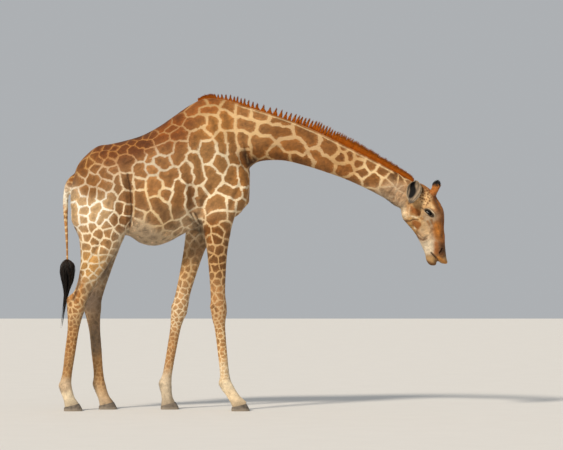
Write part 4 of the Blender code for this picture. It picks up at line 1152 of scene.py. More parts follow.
def templeDots(points):
    # how strongly the temple's spots, evenly strewn, cover each place
    draw = np.random.default_rng(23)
    middle, reach = np.array(templeSpots["middle"]), templeSpots["reach"]
    spots = []
    for x, z in draw.uniform(-1, 1, (900, 2)):
        place = middle + (x * reach[0], z * reach[1])
        if x * x + z * z < 1 and all(np.hypot(*(place - other)) > templeSpots["gap"] for other in spots):
            spots.append(place)
    offsets = points[:, [0, 2]] - middle
    near = (np.abs(offsets[:, 0]) < 0.10) & (np.abs(offsets[:, 1]) < 0.12)
    share = np.zeros(len(points))
    gaps = np.linalg.norm(points[near][:, None, [0, 2]] - np.array(spots), axis=2)
    sizes = templeSpots["size"] * draw.uniform(0.7, 1.5, len(spots))
    share[near] = 0.85 * np.exp(-(gaps / sizes) ** 4).max(1)
    return share


def markCoat(points):
    # patch and ground colours and half line width at each place, with the strokes laid over
    patch, ground, line, strength = coatField(points)
    line = markings["lineShare"] * line * (1.0 + 0.22 * ripple(points, 0.09, 61))
    patch = ground + (patch - ground) * strength[:, None]
    places = folded(points)
    fray = 0.0022 * ripple(points, 0.020, 66) + 0.0016 * ripple(points, 0.007, 67)
    reach, upward, forward = aroundEye(points)
    reach = reach + 0.05 * ripple(points, 0.010, 81)
    layers = []
    rows = [(row, places[:, [0, 2]]) for group in strokes.values() for row in group]
    rows += [(row, places) for row in spaceStrokes.values()]
    for (colour, width, amount, crisp, *path), spots in rows:
        distance, _ = pathDistance(spots, asPath(path, spots.shape[1]))
        layers.append((colour, amount * np.exp(-(np.maximum(distance + fray, 0) / (width / 1000)) ** crisp)))
    for out, width, up, ahead, colour, amount in lidBands.values():
        toward = upward * up + forward * ahead if up or ahead else np.ones(len(points))
        share = amount * np.exp(-((reach - out) / width) ** 4)
        layers.append((colour, share * smoothStep(0.15, 0.85, toward)))
    layers.append((templeSpots["colour"], templeDots(points)))
    layers.append(("hazel", 0.35 * (1 - smoothStep(0.075, 0.115, points[:, 2]))))       # above the hooves
    for colour, share in layers:
        tint, share = toLinear(pelt[colour]), share[:, None]
        patch, ground = patch * (1 - share) + tint * share, ground * (1 - share) + tint * share
    return patch, ground, line


hideLook = {
    "edgeJag": 0.0026, "edgeSoft": 0.0018, "jagMm": 11.765, "mottleMm": 38, "wrinkleMm": 18.182,
    "bumpMm": 0.9,
    "streakMm": 2.6,        # coarser than real hairs, so that they show
    "roughness": 0.72, "sheen": "#F2DEBE",
}


def coatMaterial():
    # giraffe's short-haired hide: a matt, slightly silky pelt, whose hairs lie flat and give fine streaks
    look = hideLook
    material, add, shader = newMaterial("shortHairedHide")
    known = {name: add("Attribute", attribute_name=name)
             for name in ("place", "borders", "tones", "line", "patchTint", "groundTint")}
    place = known["place"].outputs["Vector"]
    # which patch this spot is nearest to, and how far inside it the spot lies
    apart = add("SeparateXYZ", [known["borders"].outputs["Vector"]])
    tone = add("SeparateXYZ", [known["tones"].outputs["Vector"]])
    inFirst = add("Math", [apart, 0.0], operation="GREATER_THAN")
    across = add("Math", [apart], operation="ABSOLUTE")
    beside = add("Mix", {0: inFirst, 2: apart.outputs[2], 3: apart.outputs[1]})
    inside = add("Math", [across, beside, markings["round"]], operation="SMOOTH_MIN")
    edge = add("Math", [inside, known["line"].outputs["Fac"]], operation="SUBTRACT")
    patchTone = add("Mix", {0: inFirst, 2: tone.outputs[1], 3: tone})
    # short streaks along the hair: the lie is mostly down and back, so the grain is stretched that way
    turned = add("Mapping", {"Vector": place, "Rotation": (0, math.radians(-38), 0), "Scale": (0.42, 1, 1)})
    streaks = {"Vector": turned, "Scale": 500 / look["streakMm"], "Detail": 3, "Roughness": 0.6}
    streak = add("TexNoise", streaks)
    jag = add("TexNoise", {"Vector": place, "Scale": 1000 / look["jagMm"], "Detail": 4, "Roughness": 0.65})
    broad = {"Vector": place, "Scale": 1000 / look["mottleMm"], "Detail": 4, "Roughness": 0.6}
    mottle = add("TexNoise", broad)
    wrinkle = add("TexNoise", {"Vector": place, "Scale": 1000 / look["wrinkleMm"], "Detail": 3})
    jagged = add("MapRange", [jag, 0, 1, -4 * look["edgeJag"], 4 * look["edgeJag"]])
    shifted = add("Math", [edge, jagged], operation="ADD")
    mask = add("MapRange", [shifted, -look["edgeSoft"], look["edgeSoft"]], interpolation_type="SMOOTHSTEP")
    # deep in a patch the hair is darker and mottled
    deep = add("MapRange", [edge, 0, 0.045, 1.14, 0.76])
    mottled = add("MapRange", [mottle, 0.3, 0.7, 0.74, 1.20])
    depth = add("Math", [deep, mottled], operation="MULTIPLY")
    depth = add("Math", [depth, patchTone], operation="MULTIPLY")
    patchHair = add("VectorMath", {0: known["patchTint"], "Scale": depth}, operation="SCALE")
    groundMottle = add("MapRange", [mottle, 0.3, 0.7, 0.94, 1.05])
    groundHair = add("VectorMath", {0: known["groundTint"], "Scale": groundMottle}, operation="SCALE")
    both = add("Mix", {0: mask, 6: groundHair, 7: patchHair}, data_type="RGBA")
    fine = add("MapRange", [streak, 0.3, 0.7, 0.84, 1.12])
    hair = add("VectorMath", {0: both.outputs[2], "Scale": fine}, operation="SCALE")
    rough = add("MapRange", [streak, 0.3, 0.7, look["roughness"] - 0.08, look["roughness"] + 0.10])
    height = add("Math", [wrinkle, 1.8, streak], operation="MULTIPLY_ADD")
    bump = add("Bump", {"Strength": 0.55, "Distance": look["bumpMm"] / 1000, "Height": height})
    feed(shader, {"Base Color": hair, "Roughness": rough, "Normal": bump, "IOR": 1.5,
                  "Specular IOR Level": 0.2, "Sheen Weight": 0.06, "Sheen Roughness": 0.45,
                  "Sheen Tint": (*toLinear(look["sheen"]), 1)})
    return material


def dressSkin(obj):
    points, normals, triangles = readMesh(obj)
    region, lie, unwraps = bodyMap(points, normals)
    onCoat = (points[:, 2] > 0.14) & (points[:, 0] < 1.56)
    places, owners = seedsFor(points, onCoat)
    borders, firstTwo = patchBorders(triangles, points, places, owners)
    draw = np.random.default_rng(5)
    patchTones = (1 + markings["toneSpread"] * draw.normal(size=owners.max() + 1))[firstTwo]
    patch, ground, line = markCoat(points)
    setAttribute(obj, "borders", "FLOAT_VECTOR", borders, "vector", "CORNER")
    cornerTones = np.repeat(np.concatenate([patchTones, patchTones[:, :1]], 1)[:, None], 3, axis=1)
    setAttribute(obj, "tones", "FLOAT_VECTOR", cornerTones, "vector", "CORNER")
    setAttribute(obj, "line", "FLOAT", line)
    setColours(obj, "patchTint", patch)
    setColours(obj, "groundTint", ground)
    setAttribute(obj, "place", "FLOAT_VECTOR", points, "vector")
    setUv(obj, unwrapCorners(triangles, region, unwraps).reshape(-1, 2))
    obj.data.transform(shiftMatrix)
    return {"points": points, "normals": normals, "triangles": triangles, "region": region, "lie": lie,
            "ground": ground, "unwraps": unwraps, "borders": borders, "tones": patchTones, "line": line,
            "patch": patch}


def makeBlades(name, curves, out, widths, rootColours, tipColours, rootUv, thick=0.4, lit=0.0):
    # hair as closed three-sided blades: curves hold each one's places from root to tip, out the way that its
    # ridge faces
    count, rows = curves.shape[:2]
    ways = np.diff(curves, axis=1)
    ways = unit(np.concatenate([ways, ways[:, -1:]], 1))[:, :-1]
    across = unit(np.cross(ways, np.broadcast_to(out[:, None], ways.shape)))
    ridge = np.cross(across, ways)
    half = (widths[:, :-1] / 2)[..., None]
    body = curves[:, :-1]
    rings = np.stack([body - across * half, body + across * half, body + ridge * half * 2 * thick], 2)
    size = 3 * (rows - 1) + 1
    points = np.concatenate([rings.reshape(count, -1, 3), curves[:, -1:]], 1)
    pattern = [(0, 1, 2)]
    for row in range(rows - 2):
        for start, end in ((0, 1), (1, 2), (2, 0)):
            low, high = 3 * row + start, 3 * row + end
            pattern += [(low, low + 3, high + 3), (low, high + 3, high)]
    last = 3 * (rows - 2)
    pattern += [(last + k, size - 1, last + (k + 1) % 3) for k in range(3)]
    faces = (np.arange(count)[:, None, None] * size + np.array(pattern)).reshape(-1, 3)
    obj = newObject(name, points.reshape(-1, 3), [faces])
    share = np.concatenate([np.repeat(np.linspace(0, 1, rows)[:-1], 3), [1.0]])
    colours = rootColours[:, None] + (tipColours - rootColours)[:, None] * share[None, :, None]
    setColours(obj, "hairTint", np.clip(colours.reshape(-1, 3), 0, 1))
    corner = np.stack([[0.0, 1.0, 0.5] * (rows - 1) + [0.5], share], -1) * 0.003
    uv = rootUv[:, None] + corner[None] - 0.0015
    setUv(obj, np.clip(uv, 0, 1).reshape(-1, 2)[faces.ravel()])
    if lit:
        # short hair is lit as the skin that it lies on, with a little roundness of its own
        body = np.stack([-across * lit, across * lit, ridge * lit * 0.5], 2) + out[:, None, None]
        tip = out + ways[:, -1] * lit
        custom = np.concatenate([unit(body).reshape(count, -1, 3), unit(tip)[:, None]], 1)
        obj.data.normals_split_custom_set_from_vertices(custom.reshape(-1, 3).tolist())
    return obj


def cornerVertices(obj):
    corners = np.zeros(len(obj.data.loops), np.int32)
    obj.data.loops.foreach_get("vertex_index", corners)
    return corners


def shortFur(name, root, way, grow, length, look, tint, uv):
    # straight short hairs from their roots, each leaning off the surface by a share of its length
    tips = root + way * length[:, None] + grow * (length * look["rise"])[:, None]
    widths = np.tile([look["hairWidth"], 0.0], (len(root), 1))
    curves = np.stack([root - grow * look["sunk"], tips], 1)
    return makeBlades(name, curves, grow, widths, tint, tint * look["tipTint"], uv, 0.3)


def fillRamp(ramp, colours, *stops):
    # the ramp's own two stops, and more where they are named
    elements = ramp.color_ramp.elements
    for index, (key, position) in enumerate(stops):
        element = elements[index] if index < 2 else elements.new(position)
        element.position = position
        element.color = (*toLinear(colours[key]), 1)


def hairMaterial(name, roughness, specular, streak, sheen=0.0):
    # hair with a tint of its own for each lock, darker and lighter along its length
    material, add, shader = newMaterial(name)
    tint = add("Attribute", attribute_name="hairTint")
    place = add("TexCoord").outputs["Object"]
    noise = add("TexNoise", {"Vector": place, "Scale": 260, "Detail": 2})     # about 4 mm
    tone = add("MapRange", [noise, 0.3, 0.7, 1 - streak, 1 + streak])
    colour = add("VectorMath", {0: tint, "Scale": tone}, operation="SCALE")
    rough = add("MapRange", [noise, 0, 1, roughness - 0.1, roughness + 0.1])
    feed(shader, {"Base Color": colour, "Roughness": rough, "IOR": 1.55, "Sheen Weight": sheen,
                  "Specular IOR Level": specular})
    return material


# coat tufts: where they grow, side (0 for both), how many, length and width in mm, and lift in degrees
coatTufts = {
    "coat_trunk_right": (("trunk",), -1, 34000, 14, 3.9, 5),
    "coat_trunk_left": (("trunk",), 1, 34000, 14, 3.9, 5),
    "coat_neck": (("neck",), 0, 44000, 14, 3.8, 5), "coat_head": (("head",), 0, 36000, 7, 2.0, 7),
    "coat_hindlegs": (("hindleg_right", "hindleg_left"), 0, 44000, 11, 3.2, 5),
    "coat_forelegs": (("foreleg_right", "foreleg_left", "tail"), 0, 40000, 10, 3.0, 5),
}
# longer hair where it breaks the outline, on both sides: place, reach and length in mm, lift in degrees
fringes = {
    "brisket": (-300, 0, 1560, 220, 26, 14), "breast": (-50, 0, 1860, 160, 20, 12),
    "belly": (-850, 0, 1420, 340, 20, 12), "elbow": (-450, 170, 1520, 90, 24, 16),
    "stifle fold": (-1050, 200, 1480, 120, 20, 12), "buttock": (-1550, 80, 1740, 160, 18, 12),
    "gullet": (1240, 0, 1780, 100, 20, 14), "jaw": (1330, 40, 1620, 80, 15, 14),
    "poll": (1440, 40, 1930, 70, 20, 22), "neck top": (400, 0, 2460, 50, 18, 14),
    "hock point": (-1600, 160, 950, 60, 14, 12), "fetlock": (-1660, 160, 200, 60, 16, 16),
    "fore fetlock": (-290, 160, 220, 60, 16, 16), "far fore fetlock": (-820, 160, 210, 60, 16, 16),
    "far hind fetlock": (-1390, 160, 200, 60, 16, 16),
}


def sampleSkin(coat, triangleIndex, count, draw):
    # places spread evenly over some of the skin's triangles, with everything that the coat knows there
    corners = coat["points"][coat["triangles"][triangleIndex]]
    area = np.linalg.norm(np.cross(corners[:, 1] - corners[:, 0], corners[:, 2] - corners[:, 0]), axis=1)
    steps = (np.arange(count) + draw.uniform(0, 1, count)) / count * area.sum()
    chosen = triangleIndex[np.minimum(np.searchsorted(np.cumsum(area), steps), len(area) - 1)]
    u, v = draw.uniform(0, 1, (2, count))
    over = u + v > 1
    u, v = np.where(over, 1 - u, u), np.where(over, 1 - v, v)
    weights = np.stack([1 - u - v, u, v], -1)
    vertices = coat["triangles"][chosen]

    def blend(values):
        return (values * weights[..., None]).sum(1)

    known = {key: blend(coat[key][vertices]) for key in ("points", "normals", "lie", "patch", "ground")}
    known["line"] = (coat["line"][vertices] * weights).sum(1)
    uv = unwrapCorners(vertices, coat["region"], coat["unwraps"])
    known |= {"normals": unit(known["normals"]), "lie": unit(known["lie"]), "uv": blend(uv)}
    return known | {"borders": blend(coat["borders"][chosen]), "tones": coat["tones"][chosen]}


def alongHair(places):
    # the same places with the way of the hair, down and back, drawn together, so that noise on them streaks
    x, z = places[:, 0], places[:, 2]
    return np.stack([0.40 * (0.79 * x + 0.62 * z), places[:, 1], 0.79 * z - 0.62 * x], -1)


def hairColours(spots, draw):
    # the colour that the skin has under each tuft
    inFirst = spots["borders"][:, 0] > 0
    beside = np.where(inFirst, spots["borders"][:, 1], spots["borders"][:, 2])
    edge = np.minimum(np.abs(spots["borders"][:, 0]), beside) - spots["line"] - 0.0010
    edge = edge + draw.normal(size=len(edge)) * 0.0013 + 0.0016 * ripple(spots["points"], 0.012, 73)
    tone = np.where(inFirst, spots["tones"][:, 0], spots["tones"][:, 1])
    deep = 1.16 - 0.38 * np.clip(edge / 0.045, 0, 1)
    grain = alongHair(spots["points"])
    mottle = 1 + 0.26 * ripple(spots["points"], 0.075, 71) + 0.34 * ripple(grain, 0.034, 72)
    mottle = np.clip(mottle + 0.26 * ripple(grain, 0.013, 74), 0.50, 1.65)
    mask = (edge > 0)[:, None]
    colours = np.where(mask, spots["patch"] * (deep * tone * mottle)[:, None], spots["ground"])
    return colours * (1 + np.where(edge > 0, 0.12, 0.06) * draw.normal(size=len(edge)))[:, None]


def growCoat(coat, material):
    names = list(centreLines)
    triangles, points = coat["triangles"], coat["points"]
    region = coat["region"][triangles[:, 0]]
    middles = points[triangles].mean(1)
    noseClear = pathDistance(folded(middles), asPath(nostril["path"], 3))[0] > 0.012
    free = (aroundEye(middles)[0] > 1.42) & noseClear & (middles[:, 2] > 0.045)
    for index, (name, (parts, side, count, lengthMm, widthMm, lean)) in enumerate(coatTufts.items()):
        draw = np.random.default_rng(100 + index)
        chosen = np.isin(region, [names.index(part) for part in parts]) & free
        if side:
            chosen &= middles[:, 1] * side > 0
        spots = sampleSkin(coat, np.nonzero(chosen)[0], count, draw)
        place, normal = spots["points"], spots["normals"]
        length = lengthMm / 1000 * draw.uniform(0.7, 1.25, count)
        lift = np.full(count, float(lean))
        # the finest hair is on the muzzle and the feet
        muzzle = smoothStep(1.50, 1.30, place[:, 2]) * (place[:, 0] > 1.3)
        muzzle = np.maximum(muzzle, 1 - smoothStep(1.5, 3.0, aroundEye(place)[0]))
        length *= 1 - 0.45 * muzzle - 0.25 * smoothStep(0.35, 0.10, place[:, 2])
        for *zone, longer, higher in fringes.values():
            *centre, reach = np.array(zone) / 1000
            share = np.exp(-(np.linalg.norm(folded(place) - centre, axis=1) / reach) ** 3)
            length = length + (longer / 1000 * draw.uniform(0.6, 1.3, count) - length) * share
            lift = lift + (higher - lift) * share
        lift = np.radians(lift + draw.normal(size=count) * 2.0)
        sideways = np.cross(normal, spots["lie"])
        turn = draw.normal(size=count) * 0.16 + 0.25 * ripple(place, 0.35, 77)
        way = unit(spots["lie"] * np.cos(turn)[:, None] + sideways * np.sin(turn)[:, None])
        root = place - normal * 0.0012
        rise = length * np.sin(lift) + 0.0012
        tip = root + way * (length * np.cos(lift))[:, None] + normal * rise[:, None]
        wide = widthMm / 1000 * draw.uniform(0.7, 1.3, count) * np.clip(length * 1000 / lengthMm, 0.5, 1.2)
        widths = np.stack([wide, 0 * wide], -1)
        colours = hairColours(spots, draw)
        piece = makeBlades(name, np.stack([root, tip], 1), normal, widths, colours * 0.94, colours * 1.06,
                           spots["uv"], 0.20, 0.35)
        finishPiece(piece, material)
        print(name, count, "tufts")


# the mane's top edge and its root (x, height), in mm
maneStations = {
    "withers": (-475, 2690, -465, 2640), "start": (-425, 2716, -420, 2645),
    "front of withers": (-365, 2728, -358, 2650), "shoulders": (-300, 2726, -300, 2640),
    "neck base": (-160, 2712, -175, 2610), "lower": (69, 2646, 45, 2530),
    "lower middle": (240, 2596, 200, 2480), "middle": (420, 2541, 365, 2430),
    "upper middle": (620, 2466, 560, 2345), "upper": (820, 2364, 750, 2245),
    "nape": (1030, 2242, 955, 2140), "behind poll": (1220, 2124, 1145, 2040),
    "poll": (1345, 2040, 1295, 1960), "end": (1392, 1990, 1360, 1930),
}
mane = {
    "clumpGap": 0.017,      # along the upper neck
    "lowGap": 0.049,        # between the separate points of the lower neck
    "rearGap": 0.031,       # between the smaller points over the withers
    "strands": 130,         # in a clump
    "spread": 0.0135,       # half the width of the mane's root
    "width": 0.0030,
    "root": "#9C4A08",
    "middle": "#B9620C",
    "light": "#CC7A1C",
    "tip": "#652704",       # the points' dark ends
}


def apartAt(x):
    # how far the mane stands in separate points: wholly on the lower neck, then less and less
    lower = 1 - 0.62 * smoothStep(0.10, 0.42, x)
    return float(lower * smoothStep(0.95, 0.45, x) * smoothStep(-0.37, -0.30, x))


def makeMane(skinTree):
    draw = np.random.default_rng(31)
    fine = np.array(refined(np.array(list(maneStations.values())) / 1000, 24))
    length = np.concatenate([[0], np.cumsum(np.linalg.norm(np.diff(fine[:, 2:], axis=0), axis=1))])
    clumps = [0.004]
    while clumps[-1] < length[-1] - 0.02:
        here = np.interp(clumps[-1], length, fine[:, 0])
        wide = mane["rearGap"] + (mane["lowGap"] - mane["rearGap"]) * float(smoothStep(-0.18, 0.06, here))
        gap = mane["clumpGap"] + (wide - mane["clumpGap"]) * apartAt(here)
        clumps.append(clumps[-1] + gap * draw.uniform(0.82, 1.18))
    clumps = np.array(clumps)
    rows = np.stack([np.interp(clumps, length, fine[:, k]) for k in range(4)], -1)
    curves, widths, roots, tips = [], [], [], []
    height = draw.uniform(0.86, 1.0, len(clumps))
    base, middle, light, dark = tones(mane, "root", "middle", "light", "tip")
    sideways = np.array([0, 1, 0])
    for row, gap, tall in zip(rows, np.append(np.diff(clumps), mane["clumpGap"]), height):
        top, low = np.array([row[0], 0, row[1]]), np.array([row[2], 0, row[3]])
        up = unit(top - low)
        hit = skinTree.ray_cast(Vector(top + up * 0.05), Vector(-up), 0.4)[0]
        ground = np.array(hit) if hit is not None else low
        reach = np.linalg.norm(top - ground) * tall
        along = np.array([up[2], 0, -up[0]])
        apart, filled = apartAt(row[0]), float(smoothStep(-0.05, 0.34, row[0]))
        half = 0.66 * gap
        count = int(mane["strands"] * (1 + 1.1 * apart))
        a = draw.normal(size=count) * 0.0085 * (1 - apart) + draw.uniform(-1, 1, count) * half * apart
        b = draw.uniform(-1, 1, count) * mane["spread"]
        root = ground + along * a[:, None] + sideways * b[:, None] - up * (0.010 + 14 * b[:, None] ** 2)
        fall = 0.20 * np.abs(a / 0.012) ** 1.2 * (1 - apart) + 0.55 * np.abs(a / half) ** 2 * apart
        peak = 1.04 - fall - 0.16 * np.abs(b / mane["spread"])
        peak = np.clip(peak * draw.uniform(0.82, 1.03, count), 0.25, 1.0)
        # a low band of hair joins the separate points at their feet
        low = draw.uniform(0, 1, count) < (0.34 + 0.30 * filled) * apart
        peak = np.where(low, draw.uniform(0.32, 0.54, count) + 0.30 * filled, peak)
        drawn = np.where(low, 0.0, 0.55 * (1 - apart) - 0.46 * apart)
        stray = draw.normal(size=(count, 1)) * (0.004 - 0.002 * apart)
        lean = along * (-0.006 + (drawn * a)[:, None] + stray)
        spread = sideways * (0.55 * b[:, None] + draw.normal(size=(count, 1)) * 0.002)
        tip = ground + up * (reach * peak)[:, None] + lean + spread
        bow = along * draw.normal(size=(count, 1)) * 0.003 + sideways * b[:, None] * 0.25
        curves.append(np.stack([root, root + (tip - root) * 0.5 + bow, tip], 1))
        wide = mane["width"] * draw.uniform(0.6, 1.3, count)
        widths.append(np.stack([wide, wide * 0.8, 0 * wide], -1))
        mix = draw.uniform(0, 1, (count, 1))
        rear = float(smoothStep(0.55, -0.15, row[0]))
        roots.append((base + (middle - base) * (0.5 + 0.5 * rear)) * (0.85 + 0.35 * mix))
        sunlit = middle + (light - middle) * mix ** 1.5
        ends = (0.35 + 0.60 * rear) * (0.6 + 0.4 * mix) * np.where(low, 0.3, 1.0)[:, None]
        tips.append(sunlit + (dark - sunlit) * ends)
    curves, widths, roots, tips = (np.concatenate(rows) for rows in (curves, widths, roots, tips))
    out = np.broadcast_to([0.0, -1.0, 0.0], (len(curves), 3)) * np.sign(curves[:, 0, 1:2] * -1 + 1e-6)
    share = (curves[:, 0, 0] + 0.5) / 1.95
    uv = np.stack([0.02 + 0.96 * np.clip(share, 0, 1), 0.5 + curves[:, 0, 1] * 20], -1)
    piece = makeBlades("mane_hair", curves, out, widths, roots, tips, uv, 0.5)
    # stiff, upright mane hair: coarse and a little glossy, rust brown with sunlit tips
    finishPiece(piece, hairMaterial("stiffManeHair", 0.75, 0.12, 0.20), ["mane"])
    print("mane of", len(clumps), "clumps")


# the tail tuft's rear and front edge (x, height) and its half width, in mm
tuftStations = {
    "top": (-1622, 1296, -1590, 1300, 12), "collar": (-1640, 1272, -1570, 1280, 24),
    "swell": (-1656, 1238, -1553, 1246, 38), "widest": (-1665, 1180, -1547, 1184, 44),
    "waist": (-1648, 1100, -1555, 1100, 36), "strands": (-1634, 1010, -1590, 1010, 22),
    "lower": (-1634, 900, -1612, 900, 13), "near tip": (-1650, 780, -1630, 780, 9),
    "tip": (-1660, 690, -1648, 690, 5),
}
tailTuft = {
    "strands": 2300, "locks": 58, "rows": 9, "width": 0.0032, "black": "#0B0908", "brown": "#2E2118",
    "shape": (0.7, 1, 1, 1, 0.9, 0.8, 0.65, 0.4, 0.0),
}


def makeTailTuft():
    draw = np.random.default_rng(41)
    rows = np.array(refined(np.array(list(tuftStations.values())) / 1000, 12))
    share = np.linspace(0, 1, len(rows))
    count, steps, locks = tailTuft["strands"], tailTuft["rows"], tailTuft["locks"]
    lock = draw.integers(0, locks, count)
    lockTurn = draw.uniform(0, 2 * math.pi, locks)[lock]
    lockOut = np.sqrt(draw.uniform(0.02, 1.0, locks))[lock]
    lockEnd = (0.30 + 0.70 * draw.beta(1.5, 2.0, locks))[lock]
    lockSway = draw.normal(size=locks)[lock]
    start = draw.uniform(0.02, 0.26, count)
    end = np.clip(lockEnd + draw.normal(size=count) * 0.04, start + 0.16, 1.0)
    turn = lockTurn + draw.normal(size=count) * 0.55
    out = np.clip(lockOut + draw.normal(size=count) * 0.22, 0.05, 1.1)
    curves = []
    for step in np.linspace(0, 1, steps):
        at = start + (end - start) * step
        frontX, frontZ, rearX, rearZ, thick = (np.interp(at, share, rows[:, k]) for k in range(5))
        # the strands of a lock run together toward its tip
        drawn = step ** 1.3 * 0.85
        reach = (out + (lockOut - out) * drawn) * (0.45 + 0.55 * min(1.0, step * 4 + 0.2))
        wave = turn + (lockTurn - turn) * drawn + 0.35 * step * lockSway
        x = (frontX + rearX) / 2 + (rearX - frontX) / 2 * reach * np.cos(wave)
        x = x + 0.006 * lockSway * np.sin(step * 5)
        curves.append(np.stack([x, thick * reach * np.sin(wave), (frontZ + rearZ) / 2], -1))
    ridge = unit(np.stack([-np.cos(turn), np.sin(turn), 0 * turn], -1))
    widths = tailTuft["width"] * draw.uniform(0.6, 1.3, (count, 1)) * np.array(tailTuft["shape"])
    black, brown = tones(tailTuft, "black", "brown")
    mix = draw.uniform(0, 1, (count, 1)) ** 2.5
    roots = black + (brown - black) * np.maximum(mix, smoothStep(0.16, 0.04, start)[:, None])
    tips = black + (brown - black) * mix * 0.7
    uv = np.stack([0.5 + 0.45 * out * np.cos(turn), 0.5 + 0.45 * out * np.sin(turn)], -1)
    piece = makeBlades("tail_tuft_hair", np.stack(curves, 1), ridge, widths, roots, tips, uv, 0.4)
    # long black tail hair: wiry, with a dull gloss along each strand
    finishPiece(piece, hairMaterial("longTailHair", 0.50, 0.3, 0.2), ["tail_tuft"])
    print("tail tuft of", count, "strands")


# ears
ear = {
    "length": 0.254, "thickness": 0.0065, "roll": 122, "flat": 35, "unroll": 1.5, "cup": 0.62, "seat": 0.5,
    "halfWidths": (0.012, 0.042, 0.057, 0.061, 0.059, 0.051, 0.037, 0.020, 0.005),
    "root": (1.396, 0.084, 1.972), "axis": (-0.232, 0.550, -0.803), "opening": (0.10, 0.80, 0.58),
    "rows": 48, "columns": 34, "cupShadeSpot": -0.12, "hairs": 5200, "rimHairs": 3000,
    "rise": 0.22, "sunk": 0.0008, "hairWidth": 0.0014, "tipTint": 1.08,
    # the colour of the cup's deep part is painted shade, near black
    "back": "#9C7A58", "rim": "#C4B295", "edge": "#5E4E3C", "inside": "#8E7C66", "cupShade": "#080706",
    "tip": "#433C36",
}


def earColours(spots, shares, inner):
    # spot runs from -1 to 1 across the leaf, share from root to tip; the cup's deep part is painted near black
    # as a crescent of shade
    back, rim, edge, inside, cupShade, tip = tones(ear, "back", "rim", "edge", "inside", "cupShade", "tip")

    def laid(colours, over, share):
        share = np.clip(share, 0, 1)[:, None]
        return colours * (1 - share) + over * share

    creases = 0.5 + 0.5 * np.sin(spots * 11 + 5 * shares)
    velvet = inside * (0.60 + 0.62 * creases[:, None])
    # painted shade: a near black crescent where the cup is deepest
    bend = spots - (ear["cupShadeSpot"] - 0.9 * (shares - 0.42) ** 2 * 4)
    deepest = smoothStep(0.84, 0.66, shares) * smoothStep(-0.02, 0.06, shares)
    velvet = laid(velvet, cupShade, 1.15 * np.exp(-(bend / 0.37) ** 6) * deepest)
    colours = np.where(inner[:, None] > 0.5, velvet, back)
    colours = laid(colours, edge, 0.85 * np.exp(-((0.84 - np.abs(spots)) / 0.10) ** 2) * inner)
    colours = laid(colours, rim, np.exp(-((1 - np.abs(spots)) / 0.13) ** 2))
    return laid(colours, tip, 0.80 * smoothStep(0.78, 0.93, shares))


